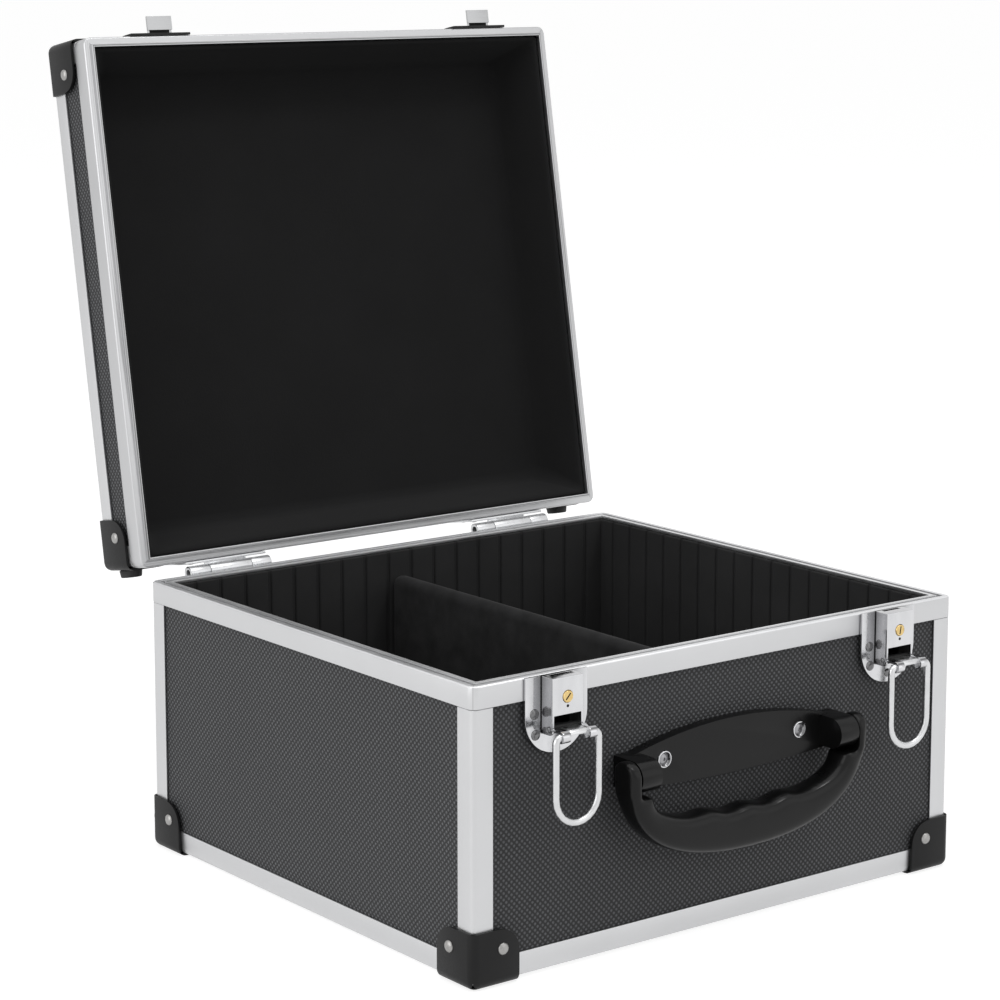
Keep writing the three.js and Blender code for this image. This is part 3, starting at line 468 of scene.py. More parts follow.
def domed_rivet(name, spot, outward, radius, body, paint=rivet_steel):
    """A rivet's domed head, sunk a little into what it holds."""
    sunk, rim, rise = 0.5 * mm, 0.12 * mm, radius * 0.42
    profile = [(0, -sunk), (radius, -sunk), (radius, rim)]
    profile += [(radius * math.cos(math.radians(a)), rim + rise * math.sin(math.radians(a)))
                for a in (22, 45, 66)]
    turned(name, profile + [(0, rim + rise)], facing(spot, outward), paint, body)


protector_face = 1.8 * mm
rivet_inset, rivet_radius = 18 * mm, 3.3 * mm
for part, place, body, level in (("body", body_place, "case_body", rivet_inset),
                                 ("lid", lid_place, "lid", lid_height - rivet_inset)):
    for corner_name in corner_names:
        finished_copy(f"{part}_protector_{corner_name}", f"{part}_corner_{corner_name}", black_plastic,
                      edge=0.5 * mm, steps=2, sharp=50)
        side = -1 if corner_name.endswith("left") else 1
        end = -1 if corner_name.startswith("front") else 1
        turned_place = place.to_3x3()
        spot = place @ Vector((side * (half_width + protector_face), end * (half_depth - rivet_inset), level))
        domed_rivet(f"{part}_side_rivet_{corner_name}", spot, turned_place @ Vector((side, 0, 0)),
                    rivet_radius, body)
        if end < 0:
            spot = place @ Vector((side * (half_width - rivet_inset), end * (half_depth + protector_face),
                                   level))
            domed_rivet(f"{part}_front_rivet_{corner_name}", spot, turned_place @ Vector((0, end, 0)),
                        rivet_radius, body)

# Back feet: four rubber pads on the back corners, for standing the case on its hinge side. Each has a
# sunk middle with the head of its screw.
foot_rubber, tree, shader = plain_paint("black_foot_rubber", (0.018, 0.018, 0.018), roughness=0.75)
tree.links.new(spread(tree, grain(tree, 4 * mm, 4), 0.62, 0.86), shader.inputs["Roughness"])
tree.links.new(tint(tree, grain(tree, 12 * mm, 3), (0.014, 0.014, 0.014), (0.028, 0.028, 0.028)),
               shader.inputs["Base Color"])
relief(tree, shader, grain(tree, 0.6 * mm, 3), 0.05 * mm, 0.5)
foot_level, foot_inset, foot_seat = 14 * mm, 8.8 * mm, 2.1 * mm
foot_profile = [(0, 0), (6.8 * mm, 0), (6.75 * mm, 0.6 * mm), (6.25 * mm, 3.7 * mm), (5.8 * mm, 4.2 * mm),
                (3.3 * mm, 4.2 * mm), (3.0 * mm, 3.9 * mm), (2.9 * mm, 2 * mm), (0, 2 * mm)]
foot_screw_height, foot_screw_radius = 2.4 * mm, 2.4 * mm
for part, place, body, level in (("body", body_place, "case_body", foot_level),
                                 ("lid", lid_place, "lid", lid_height - foot_level)):
    for side, side_name in ((-1, "left"), (1, "right")):
        spot = place @ Vector((side * (half_width - foot_inset), half_depth + foot_seat, level))
        away = place.to_3x3() @ Vector((0, 1, 0))
        pad = turned(f"{part}_foot_pad_{side_name}", foot_profile, facing(spot, away), foot_rubber, body)
        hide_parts(f"{part}_back_foot_{side_name}")
        domed_rivet(f"{part}_foot_screw_{side_name}", spot + away * foot_screw_height, away,
                    foot_screw_radius, body)

# Hinges: plated steel leaves rolled round a drawn pin, riveted to the back of body and lid. The pin is
# painted nearly black, as painted shade for the dark bore in the barrel's open ends, and a square heel on the
# lid's knuckle stops the lid.
# The pin's near-black tone is painted shade for the bore.
pin_painted_shade, tree, shader = plain_paint("pin_painted_shade_steel", (0.03, 0.03, 0.03), roughness=0.5, metallic=0.6)
tree.links.new(tint(tree, grain(tree, 0.8 * mm, 3), (0.02, 0.02, 0.02), (0.05, 0.049, 0.047)),
               shader.inputs["Base Color"])
hinge_steel, tree, shader = plain_paint("plated_hinge_steel", (0.62, 0.625, 0.635), roughness=0.3,
                                        metallic=1.0)
plating = grain(tree, 4 * mm, 4)
tree.links.new(spread(tree, plating, 0.24, 0.36), shader.inputs["Roughness"])
tree.links.new(tint(tree, plating, (0.54, 0.545, 0.555), (0.68, 0.685, 0.695)), shader.inputs["Base Color"])
relief(tree, shader, grain(tree, 2 * mm, 2), 0.02 * mm, 0.3)
leaf_face, leaf_rivet_radius = 2.15 * mm, 2.4 * mm
# The rivets of one leaf in millimetres, across from its middle and away from the pin
leaf_rivets = ((-18, 13), (18, 13), (-18, 24), (0, 24), (18, 24))
for side_name, hinge_middle in (("left", -112.5 * mm), ("right", 98.5 * mm)):
    finished_copy(f"{side_name}_body_hinge_leaf", f"{side_name}_hinge_body_side", hinge_steel,
                  edge=0.3 * mm, steps=2)
    finished_copy(f"{side_name}_lid_hinge_leaf", f"{side_name}_hinge_lid_side", hinge_steel,
                  edge=0.3 * mm, steps=2)
    finished_copy(f"{side_name}_hinge_pin", f"{side_name}_hinge_rod", pin_painted_shade,
                  edge=0.2 * mm, steps=1)
    for number, (across_by, down_by) in enumerate(leaf_rivets):
        across_at = hinge_middle + across_by * mm
        spot = body_place @ Vector((across_at, half_depth + leaf_face, hinge_z - down_by * mm))
        domed_rivet(f"{side_name}_hinge_body_rivet_{number}", spot, (0, 1, 0), leaf_rivet_radius, "case_body")
        spot = lid_place @ Vector((across_at, half_depth + leaf_face, down_by * mm - rim_to_hinge))
        domed_rivet(f"{side_name}_hinge_lid_rivet_{number}", spot, lid_place.to_3x3() @ Vector((0, 1, 0)),
                    leaf_rivet_radius, "lid")

# Wall and floor lining: black foam board with a soft brushed face. Upright slots at an even pitch hold
# the divider. The board stands under the rim's inner lip and is glued to the walls.
brushed_foam, tree, shader = plain_paint("black_brushed_foam", (0.013, 0.013, 0.013), roughness=0.95,
                                         shine=0.08)
nap = grain(tree, 1.1 * mm, 5)
tree.links.new(tint(tree, grain(tree, 30 * mm, 3), (0.022, 0.022, 0.0224), (0.034, 0.034, 0.0345)),
               shader.inputs["Base Color"])
shader.inputs["Sheen Weight"].default_value = 0.03
shader.inputs["Sheen Roughness"].default_value = 0.5
relief(tree, shader, nap, 0.25 * mm, 0.6)

lining_from, lining_to, lining_inset = 7.0 * mm, 154.7 * mm, 7.0 * mm
lining_thick, slot_width, slot_depth = 3.5 * mm, 2.6 * mm, 1.3 * mm
slot_section = ((-0.85, 0), (-0.62, -0.16), (-0.5, -0.5), (-0.42, -1), (0.42, -1), (0.5, -0.5),
                (0.62, -0.16), (0.85, 0))


def slotted_board(name, node, length, pitch, place):
    """A foam board along X with its slotted face towards +Y, the slots' edges rounded."""
    half, count = length / 2, int((length - slot_width * 2) / pitch)
    line = [(-half, 0.0)]
    for slot_number in range(count):
        middle = (slot_number - (count - 1) / 2) * pitch
        for across_by, depth in slot_section:
            line.append((middle + across_by * slot_width, depth * slot_depth))
    line.append((half, 0.0))
    shape = bmesh.new()
    # For each height of the board: how far its face draws back, and how much of each slot is cut
    levels = [(lining_from, 0, 0), (lining_from + 3.2 * mm, 0, 1), (lining_to - 0.8 * mm, 0, 1),
              (lining_to - 0.25 * mm, -0.22 * mm, 1), (lining_to, -0.8 * mm, 1)]
    rows = [[shape.verts.new((x, lining_thick + y * cut + soft, z)) for x, y in line]
            for z, soft, cut in levels]
    for lower, upper in zip(rows, rows[1:]):
        for k in range(len(line) - 1):
            shape.faces.new((lower[k + 1], lower[k], upper[k], upper[k + 1]))
    rear = [shape.verts.new((x, 0, z)) for z in (lining_from, lining_to) for x in (-half, half)]
    shape.faces.new((rear[3], rear[2], *rows[-1]))
    shape.faces.new((rear[0], rear[1], *reversed(rows[0])))
    shape.faces.new((rear[1], rear[0], rear[2], rear[3]))
    shape.faces.new((rear[0], *[row[0] for row in rows], rear[2]))
    shape.faces.new((rear[3], *[row[-1] for row in reversed(rows)], rear[1]))
    bmesh.ops.recalc_face_normals(shape, faces=shape.faces)
    mesh = bpy.data.meshes.new(name)
    shape.to_mesh(mesh)
    shape.free()
    mesh.transform(body_place @ place)
    mesh.shade_smooth()
    mesh.set_sharp_from_angle(angle=math.radians(50))
    mesh.materials.append(brushed_foam)
    piece = bpy.data.objects.new(name, mesh)
    bpy.context.scene.collection.objects.link(piece)
    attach(piece, "case_body")
    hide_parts(node)


side_run, end_run = 296 * mm, 318.4 * mm
side_pitch, end_pitch = 16.6 * mm, 17.2 * mm
slotted_board("left_wall_foam", "left_lining", side_run, side_pitch,
              Matrix.Translation((-half_width + lining_inset, 0, 0)) @ Matrix.Rotation(-math.pi / 2, 4, "Z"))
slotted_board("right_wall_foam", "right_lining", side_run, side_pitch,
              Matrix.Translation((half_width - lining_inset, 0, 0)) @ Matrix.Rotation(math.pi / 2, 4, "Z"))
slotted_board("front_wall_foam", "front_lining", end_run, end_pitch,
              Matrix.Translation((0, -half_depth + lining_inset, 0)))
slotted_board("back_wall_foam", "back_lining", end_run, end_pitch,
              Matrix.Translation((0, half_depth - lining_inset, 0)) @ Matrix.Rotation(math.pi, 4, "Z"))


def soft_slab(name, node, body, low, high, paint, roll, crown, place, counts):
    """A padded board: a block with rolled edges, its two wide faces slightly crowned. The counts are the
    fields that each side is cut into."""
    shape = bmesh.new()
    bmesh.ops.create_cube(shape, size=1)
    low, high = Vector(low), Vector(high)
    for vert in shape.verts:
        vert.co = Vector([low[k] if vert.co[k] < 0 else high[k] for k in range(3)])
    bmesh.ops.bevel(shape, geom=shape.edges[:], offset=roll, segments=4, profile=0.5, affect="EDGES",
                    clamp_overlap=True)
    size = high - low
    thin = min(range(3), key=lambda k: size[k])
    for axis in range(3):
        for cut in range(1, counts[axis]):
            at = Vector(low)
            at[axis] = low[axis] + size[axis] * cut / counts[axis]
            normal = Vector((0, 0, 0))
            normal[axis] = 1
            bmesh.ops.bisect_plane(shape, geom=shape.verts[:] + shape.edges[:] + shape.faces[:],
                                   plane_co=at, plane_no=normal)
    middle = (low + high) / 2
    for vert in shape.verts:
        share = 1.0
        for axis in range(3):
            if axis != thin:
                share *= 1 - (abs(vert.co[axis] - middle[axis]) / (size[axis] / 2)) ** 4
        vert.co[thin] -= math.copysign(crown * (1 - share), vert.co[thin] - middle[thin])
    mesh = bpy.data.meshes.new(name)
    shape.to_mesh(mesh)
    shape.free()
    mesh.transform(place)
    mesh.shade_smooth()
    mesh.materials.append(paint)
    piece = bpy.data.objects.new(name, mesh)
    bpy.context.scene.collection.objects.link(piece)
    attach(piece, body)
    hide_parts(node)


floor_foam_low, floor_foam_high = (-159.2 * mm, -144.2 * mm, 7 * mm), (159.2 * mm, 144.2 * mm, 10.5 * mm)
soft_slab("floor_foam", "floor_lining", "case_body", floor_foam_low, floor_foam_high, brushed_foam,
          roll=1.2 * mm, crown=0.3 * mm, place=body_place, counts=(8, 8, 1))

# Divider: a stiff board wrapped in thin foam and dark grey cloth, standing loose in a pair of slots.
# Its edges are rolled over, and the cloth is a little uneven in tone, where hands have brushed it.
grey_cloth, tree, shader = plain_paint("dark_grey_divider_cloth", (0.01, 0.01, 0.0105), roughness=0.9,
                                       shine=0.1)
rubbed = spread(tree, grain(tree, 14 * mm, 4), 0, 1)
tree.links.new(tint(tree, rubbed, (0.017, 0.017, 0.0174), (0.03, 0.03, 0.0307)), shader.inputs["Base Color"])
shader.inputs["Sheen Weight"].default_value = 0.05
shader.inputs["Sheen Roughness"].default_value = 0.45
relief(tree, shader, grain(tree, 0.8 * mm, 4), 0.2 * mm, 0.6)
divider_low, divider_high = (-8 * mm, -144 * mm, 10.8 * mm), (4 * mm, 144 * mm, 140.5 * mm)
soft_slab("padded_divider", "divider", "divider_board", divider_low, divider_high, grey_cloth,
          roll=5.4 * mm, crown=0.5 * mm, place=body_place, counts=(1, 16, 6))

# Lid tray: one moulded sheet of black padded foam. It rolls in from inside the rim, slopes down as a
# soft wall and ends in a flat floor, with round corners throughout.
lid_foam, tree, shader = plain_paint("black_lid_foam", (0.013, 0.013, 0.013), roughness=0.95, shine=0.08)
tree.links.new(tint(tree, grain(tree, 50 * mm, 3), (0.0155, 0.0155, 0.0158), (0.021, 0.021, 0.0214)),
               shader.inputs["Base Color"])
shader.inputs["Sheen Weight"].default_value = 0.03
shader.inputs["Sheen Roughness"].default_value = 0.5
relief(tree, shader, grain(tree, 1.3 * mm, 5), 0.22 * mm, 0.5)


def rounded_ring(inset, level, radius, steps=6):
    """Points round a rectangle with round corners, set in from the case's sides."""
    ring = []
    for corner, (sx, sy) in enumerate(((-1, -1), (1, -1), (1, 1), (-1, 1))):
        for step in range(steps + 1):
            angle = math.pi / 2 * (corner - 2 + step / steps)
            ring.append((sx * (half_width - inset - radius) + radius * math.cos(angle),
                         sy * (half_depth - inset - radius) + radius * math.sin(angle), level))
    return ring


# Inset, level and corner radius of the tray in millimetres, from its outer wall over the rim to its floor
tray_section = ((7.2, 35.8, 2), (7.2, 11.6, 2), (5.9, 11.4, 1.6), (5.9, 1.7, 1.6), (6.2, 1.2, 1.9),
                (7.4, 1.1, 2.6), (8.4, 1.9, 3.4), (9.4, 4.4, 4.6), (13.4, 14, 7), (16.3, 24, 9),
                (18.2, 30.2, 9), (20.0, 33.0, 9), (24.5, 33.8, 8), (70, 33.6, 6))
shape = bmesh.new()
loops = [[shape.verts.new(spot) for spot in rounded_ring(inset * mm, level * mm, radius * mm)]
         for inset, level, radius in tray_section]
for first, second in zip(loops, loops[1:]):
    for k in range(len(first)):
        nxt = (k + 1) % len(first)
        shape.faces.new((first[k], first[nxt], second[nxt], second[k]))
shape.faces.new(loops[-1])
shape.faces.new(list(reversed(loops[0])))
bmesh.ops.recalc_face_normals(shape, faces=shape.faces)
tray_mesh = bpy.data.meshes.new("lid_foam_tray")
shape.to_mesh(tray_mesh)
shape.free()
tray_mesh.transform(lid_place)
tray_mesh.shade_smooth()
tray_mesh.materials.append(lid_foam)
tray = bpy.data.objects.new("lid_foam_tray", tray_mesh)
bpy.context.scene.collection.objects.link(tray)
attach(tray, "lid")
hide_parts("lid_lining")

# Latches: base plate and housing pressed from one sheet and chromed, riveted to the front. A brass lock
# cylinder sits in the housing, and a lever with a rolled edge carries the wire bail. The bail closes over
# the hook of a satin steel catch that is riveted to the lid.


def bands(tree, value, stops, interpolation="LINEAR"):
    """A colour that goes from stop to stop as the value goes from 0 to 1."""
    ramp = tree.nodes.new("ShaderNodeValToRGB")
    ramp.color_ramp.interpolation = interpolation
    tones = ramp.color_ramp.elements
    tones[0].position, tones[0].color = 0.0, (*stops[0][1], 1)
    tones[1].position, tones[1].color = 1.0, (*stops[-1][1], 1)
    for position, colour in stops[1:-1]:
        stop = tones.new(position)
        stop.color = (*colour, 1)
    tree.links.new(value, ramp.inputs["Fac"])
    return ramp.outputs["Color"]


# Chrome with painted reflection: lighter and darker bands by the way a face is turned, and stretched streaks,
# stand in for the room it mirrors. Painted shade darkens it in the fold between housing and plate.
chrome, tree, shader = plain_paint("polished_chrome", (0.7, 0.705, 0.715), roughness=0.12, metallic=1.0)
facet = tree.nodes.new("ShaderNodeTexCoord")
facet_parts = tree.nodes.new("ShaderNodeSeparateXYZ")
tree.links.new(facet.outputs["Normal"], facet_parts.inputs["Vector"])
reflection_stops = [(0.0, (0.68, 0.685, 0.695))]
for position, tone in ((0.04, 0.66), (0.1, 0.3), (0.18, 0.09), (0.28, 0.6), (0.38, 0.66), (0.5, 0.52),
                       (0.62, 0.6)):
    reflection_stops.append((position, (tone, tone, tone * 1.02)))
reflection_stops.append((1.0, (0.5, 0.505, 0.515)))
painted_reflection_tone = bands(tree, spread(tree, facet_parts.outputs["Y"], 0, 1, -1, 1), reflection_stops, "B_SPLINE")
reflection_streaks = tint(tree, grain(tree, 6 * mm, 3, (1, 1, 0.35)), (0.8, 0.8, 0.81), (1, 1, 1))
front_face = -half_depth - 0.75 * mm
latch_middle = 118.1 * mm
sheet_level = body_place @ Vector((0, front_face, body_height))
spot_parts = tree.nodes.new("ShaderNodeSeparateXYZ")
tree.links.new(facet.outputs["Object"], spot_parts.inputs["Vector"])
off_centre = worked(tree, "ABSOLUTE", spot_parts.outputs["X"])
off_middle = worked(tree, "ABSOLUTE", worked(tree, "SUBTRACT", off_centre, latch_middle))
# Painted shade in the fold: darkest at the fold, lightening across the plate away from it.
fold_shade_stops = [(position, (tone, tone, tone)) for position, tone in
              ((0.0, 0.06), (0.05, 0.07), (0.09, 0.5), (0.45, 0.78), (0.8, 0.92), (1.0, 1.0))]
fold_from, fold_to = 9.9 * mm, 19.9 * mm
painted_fold_shade = bands(tree, spread(tree, off_middle, 0, 1, fold_from, fold_to), fold_shade_stops)
sheet_from, sheet_to = sheet_level.y - 2.3 * mm, sheet_level.y - 1.9 * mm
on_sheet = spread(tree, spot_parts.outputs["Y"], 0, 1, sheet_from, sheet_to)
end_from, end_to = sheet_level.z - 30.6 * mm, sheet_level.z - 29.4 * mm
above_end = spread(tree, spot_parts.outputs["Z"], 0, 1, end_from, end_to)
fold_shade_blend = tree.nodes.new("ShaderNodeMix")
fold_shade_blend.data_type = "RGBA"
fold_shade_blend.inputs["A"].default_value = (1, 1, 1, 1)
tree.links.new(worked(tree, "MULTIPLY", on_sheet, above_end), fold_shade_blend.inputs["Factor"])
tree.links.new(painted_fold_shade, fold_shade_blend.inputs["B"])
reflection_banded_chrome = multiply(tree, painted_reflection_tone, reflection_streaks)
tree.links.new(multiply(tree, reflection_banded_chrome, fold_shade_blend.outputs["Result"]), shader.inputs["Base Color"])
tree.links.new(spread(tree, grain(tree, 3 * mm, 4), 0.08, 0.2), shader.inputs["Roughness"])
relief(tree, shader, grain(tree, 3.5 * mm, 2), 0.02 * mm, 0.25)

dulled_steel, tree, shader = plain_paint("dulled_latch_rivet", (0.17, 0.17, 0.17), roughness=0.26,
                                         metallic=1.0)
tree.links.new(tint(tree, grain(tree, 1.6 * mm, 4), (0.1, 0.1, 0.1), (0.24, 0.24, 0.245)),
               shader.inputs["Base Color"])
wire_chrome, tree, shader = plain_paint("chromed_wire", (0.62, 0.624, 0.632), roughness=0.3, metallic=1.0)
tree.links.new(spread(tree, grain(tree, 3 * mm, 4), 0.24, 0.36), shader.inputs["Roughness"])
tree.links.new(tint(tree, grain(tree, 7 * mm, 3), (0.54, 0.543, 0.55), (0.68, 0.684, 0.692)),
               shader.inputs["Base Color"])

satin_steel, tree, shader = plain_paint("satin_catch_steel", (0.6, 0.605, 0.615), roughness=0.34,
                                        metallic=1.0)
brushing = grain(tree, 1.2 * mm, 4, (0.12, 1, 1))
tree.links.new(spread(tree, brushing, 0.28, 0.42), shader.inputs["Roughness"])
tree.links.new(tint(tree, brushing, (0.38, 0.384, 0.39), (0.5, 0.504, 0.51)), shader.inputs["Base Color"])

warm_brass, tree, shader = plain_paint("lock_brass", (0.7, 0.5, 0.2), roughness=0.24, metallic=1.0)
brass_wear = grain(tree, 1.6 * mm, 4)
tree.links.new(spread(tree, brass_wear, 0.18, 0.36), shader.inputs["Roughness"])
tree.links.new(tint(tree, brass_wear, (0.55, 0.37, 0.13), (0.8, 0.62, 0.3)), shader.inputs["Base Color"])


def add_bar(shape, line, low, high, paint_number):
    """Adds the bar that an outline of [y, z] points in millimetres makes from low to high across."""
    rings = [[shape.verts.new((x * mm, y * mm, z * mm)) for y, z in line] for x in (low, high)]
    faces = [shape.faces.new(rings[0]), shape.faces.new(list(reversed(rings[1])))]
    for k in range(len(line)):
        nxt = (k + 1) % len(line)
        faces.append(shape.faces.new((rings[0][nxt], rings[0][k], rings[1][k], rings[1][nxt])))
    for face in faces:
        face.material_index = paint_number


def arc(middle, radius, first, last, steps):
    """Points round a middle, by degrees from straight up and turning outwards."""
    angles = [math.radians(first + (last - first) * k / steps) for k in range(steps + 1)]
    return [(middle[0] - radius * math.sin(a), middle[1] + radius * math.cos(a)) for a in angles]


# Outlines of the lever's flap in millimetres, outwards and upwards from its pivot
curl_middle, pivot_middle = (-10.8, -1.6), (0, 0)
eyelet = [(-3.4, 1.25), (-9.4, 1.4), *arc(curl_middle, 3.15, 0, 290, 14),
          *arc(curl_middle, 1.95, 290, 0, 14), (-9.4, 0.15), (-3.4, 0)]
lip = [(-2.6, 1.2), (-10.2, 1.25), (-11.5, 0.85), (-12.25, -0.2), (-12.3, -1.2), (-11.1, -1.2),
       (-11.05, -0.4), (-10.6, -0.05), (-9.8, 0), (-2.6, 0)]
tail = [(4.6, 1.15), (-3.5, 1.15), (-3.5, 0.05), (4.6, 0.05)]
pivot_roll, pivot_pin = arc(pivot_middle, 2.2, 0, 342, 19), arc(pivot_middle, 1.3, 0, 337.5, 15)
# The flap's tail and pivot roll, seen through the housing's window, are painted near black as painted shade.
flap_chrome, flap_wire, flap_shade = 0, 1, 2
flap_bars = ((eyelet, -11.2, -6.2, flap_chrome), (eyelet, 6.2, 11.2, flap_chrome),
             (lip, -6.6, 6.6, flap_wire), (tail, -8.7, 8.7, flap_shade), (pivot_roll, -8.7, 8.7, flap_shade),
             (pivot_pin, -9.9, 9.9, flap_wire))
# Places on latch and catch in metres: across, outwards as a negative number, and upwards from the mouth
# of body or lid. The plate's rivets are in millimetres, across and downwards.
lever_pivot = (0, -7.6 * mm, -27 * mm)
housing_hollow = ((-9.2 * mm, -9.6 * mm, -42 * mm), (9.2 * mm, -1.2 * mm, -1.2 * mm))
key_slot = ((-2.6 * mm, -11.2 * mm, -13.0 * mm), (2.6 * mm, -10.1 * mm, -7.8 * mm))
lock_face = -11.05 * mm
catch_plate = ((-21 * mm, -1.5 * mm, -1 * mm), (21 * mm, 0.1 * mm, 27 * mm))
catch_mouth = ((-7.6 * mm, -10.5 * mm, -7 * mm), (7.6 * mm, -1.2 * mm, 7 * mm))
plate_face, pip_place = 1.4 * mm, (0, -10.62 * mm, -15.3 * mm)
pip_profile = [(0, 0), (0.8 * mm, 0), (0.8 * mm, 0.06 * mm), (0, 0.06 * mm)]
plate_rivets = ((-14.4, 19.5), (-13.6, 30.5), (14.4, 19.5), (13.6, 30.5), (0, 36.4))
side_rivet_radius, small_rivet_radius, catch_rivet_level = 2.8 * mm, 2.4 * mm, 9 * mm
for side, side_name in ((-1, "left"), (1, "right")):
    latch_place = body_place @ Matrix.Translation((side * latch_middle, front_face, body_height))
    pressing = finished_copy(f"{side_name}_latch_housing", f"{side_name}_latch_pressing", chrome,
                             edge=0.45 * mm, steps=3)
    # Painted shade inside the housing's hollow, seen through its window.
    pressing.data.materials.append(painted_shade)
    for face in in_box(pressing, latch_place, *housing_hollow):
        face.material_index = shade_number
    shape = bmesh.new()
    for line, low, high, paint_number in flap_bars:
        add_bar(shape, line, low, high, paint_number)
    bmesh.ops.recalc_face_normals(shape, faces=shape.faces)
    creases = [edge for edge in shape.edges if edge.calc_face_angle(0) > math.radians(40)]
    bmesh.ops.bevel(shape, geom=creases, offset=0.18 * mm, segments=2, profile=0.6, affect="EDGES",
                    clamp_overlap=True)
    flap_mesh = bpy.data.meshes.new(f"{side_name}_latch_flap")
    shape.to_mesh(flap_mesh)
    shape.free()
    flap_mesh.transform(latch_place @ Matrix.Translation(lever_pivot))
    flap_mesh.shade_smooth()
    flap_mesh.set_sharp_from_angle(angle=math.radians(40))
    for paint in (chrome, wire_chrome, painted_shade):
        flap_mesh.materials.append(paint)
    flap = bpy.data.objects.new(f"{side_name}_latch_flap", flap_mesh)
    bpy.context.scene.collection.objects.link(flap)
    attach(flap, frame["nodes"][f"{side_name}_latch_lever"]["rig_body"])
    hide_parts(f"{side_name}_latch_lever")
    finished_copy(f"{side_name}_latch_bail", f"{side_name}_wire_bail", wire_chrome)
    lock = finished_copy(f"{side_name}_lock_cylinder", f"{side_name}_brass_lock", warm_brass,
                         edge=0.15 * mm, steps=1)
    # Faces down inside the key slot get painted shade.
    lock.data.materials.append(painted_shade)
    for face in in_box(lock, latch_place, *key_slot):
        if (latch_place.inverted() @ face.center).y > lock_face:
            face.material_index = shade_number
    catch = finished_copy(f"{side_name}_lid_catch", f"{side_name}_catch_pressing", satin_steel,
                          edge=0.4 * mm, steps=3)
    # Painted shade on the catch plate's edge faces and inside the mouth of its hook.
    catch.data.materials.append(painted_shade)
    catch_place = lid_place @ Matrix.Translation((side * latch_middle, front_face, 0))
    outwards = catch_place.to_3x3() @ Vector((0, 1, 0))
    for face in in_box(catch, catch_place, *catch_plate):
        if abs(face.normal.dot(outwards)) < 0.8:
            face.material_index = shade_number
    for face in in_box(catch, catch_place, *catch_mouth):
        face.material_index = shade_number
    for number, (across_by, down_by) in enumerate(plate_rivets):
        spot = latch_place @ Vector((across_by * mm, -plate_face, -down_by * mm))
        domed_rivet(f"{side_name}_latch_rivet_{number}", spot, (0, -1, 0),
                    side_rivet_radius if across_by else small_rivet_radius, "case_body", dulled_steel)
    turned(f"{side_name}_lock_pip", pip_profile, facing(latch_place @ Vector(pip_place), (0, -1, 0)),
           painted_shade, "case_body", sides=16)
    for number, across_by in enumerate((-13.5, 13.5)):
        spot = lid_place @ Vector((side * latch_middle + across_by * mm, front_face - plate_face,
                                   catch_rivet_level))
        domed_rivet(f"{side_name}_catch_rivet_{number}", spot, lid_place.to_3x3() @ Vector((0, -1, 0)),
                    small_rivet_radius, "lid")

# Handle: a bowed bracket with two recessed screws in chromed cups, and a heavy moulded grip with finger
# bumps that swings on its two ends. Both are black plastic with a satin face.
satin_black, tree, shader = plain_paint("satin_black_handle", (0.007, 0.007, 0.0073), roughness=0.34,
                                        shine=0.1)
shader.inputs["Coat Weight"].default_value = 0.25
shader.inputs["Coat Roughness"].default_value = 0.18
handle_pores = grain(tree, 0.6 * mm, 3)
tree.links.new(spread(tree, grain(tree, 20 * mm, 3), 0.26, 0.34), shader.inputs["Roughness"])
tree.links.new(tint(tree, grain(tree, 25 * mm, 2), (0.003, 0.003, 0.0031), (0.0055, 0.0055, 0.0057)),
               shader.inputs["Base Color"])
relief(tree, shader, handle_pores, 0.03 * mm, 0.4)
finished_copy("handle_bracket", "handle_mount_plate", satin_black, edge=0.9 * mm, steps=3)
grip = finished_copy("handle_grip", "handle_hand_grip", satin_black)


def settle(piece):
    """Makes what the piece's modifiers give into its mesh."""
    bpy.context.view_layer.update()
    settled = bpy.data.meshes.new_from_object(piece.evaluated_get(bpy.context.evaluated_depsgraph_get()))
    piece.modifiers.clear()
    piece.data = settled
    return settled


handle_drop = 59.5 * mm
handle_level = body_height - handle_drop
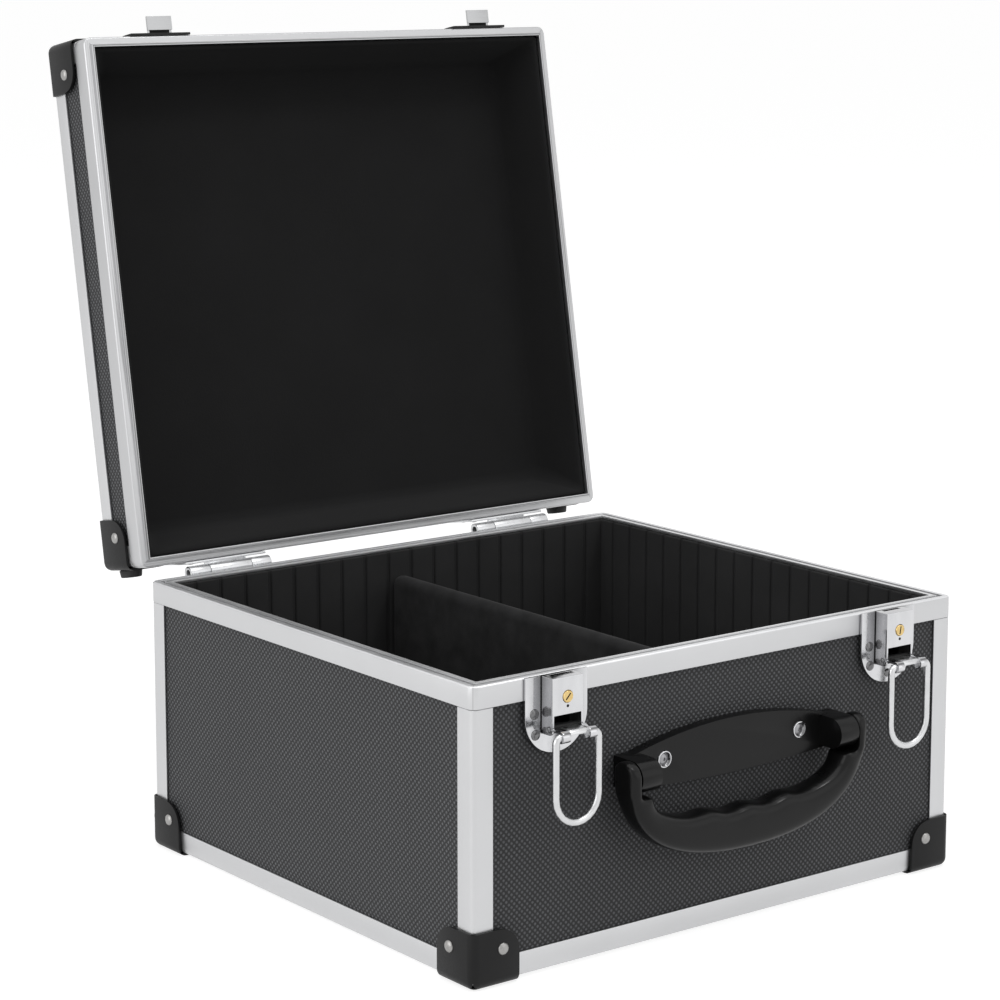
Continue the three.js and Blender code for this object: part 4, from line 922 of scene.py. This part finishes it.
# The bow of the grip is rounded from 9 mm below its axis, and fully from 8 mm further down
bow_from, bow_blend = 9, 8
moulding = grip.modifiers.new("moulding", "REMESH")
moulding.mode = "VOXEL"
moulding.voxel_size = 1.1 * mm
easing = grip.modifiers.new("easing", "SMOOTH")
easing.factor = 0.5
easing.iterations = 9
settle(grip)
bow = grip.vertex_groups.new(name="bow")
for vertex in grip.data.vertices:
    fall = (handle_level - (body_place.inverted() @ vertex.co).z) / mm
    bow.add([vertex.index], min(max((fall - bow_from) / bow_blend, 0), 1), "REPLACE")
rounding = grip.modifiers.new("rounding", "SMOOTH")
rounding.factor = 0.5
rounding.iterations = 70
rounding.vertex_group = "bow"
moulded = settle(grip)
moulded.shade_smooth()
moulded.materials.clear()
moulded.materials.append(satin_black)
drawn_steel, tree, shader = plain_paint("drawn_steel_pin", (0.3, 0.3, 0.31), roughness=0.35, metallic=1.0)
tree.links.new(spread(tree, grain(tree, 0.7 * mm, 3, (0.1, 1, 1)), 0.25, 0.45), shader.inputs["Roughness"])
screw_across, screw_above = 48.3 * mm, 2.8 * mm
bracket_proud, screw_sunk = 5.6 * mm, 1.4 * mm
cup_profile = [(2.9 * mm, 0), (4.7 * mm, 0), (4.75 * mm, 1.3 * mm), (4.5 * mm, 1.9 * mm),
               (4.0 * mm, 2.0 * mm), (3.5 * mm, 1.6 * mm), (2.9 * mm, 0.6 * mm)]
screw_profile = [(0, 0), (3.0 * mm, 0), (3.0 * mm, 0.5 * mm), (2.2 * mm, 1.1 * mm), (0.9 * mm, 1.3 * mm),
                 (0.6 * mm, 0.5 * mm), (0, 0.4 * mm)]
for side, side_name in ((-1, "left"), (1, "right")):
    seat = body_place @ Vector((side * screw_across, -half_depth - bracket_proud + screw_sunk,
                                handle_level + screw_above))
    turned(f"{side_name}_screw_cup", cup_profile, facing(seat, (0, -1, 0)), chrome, "case_body")
    turned(f"{side_name}_handle_screw", screw_profile, facing(seat, (0, -1, 0)), drawn_steel, "case_body")
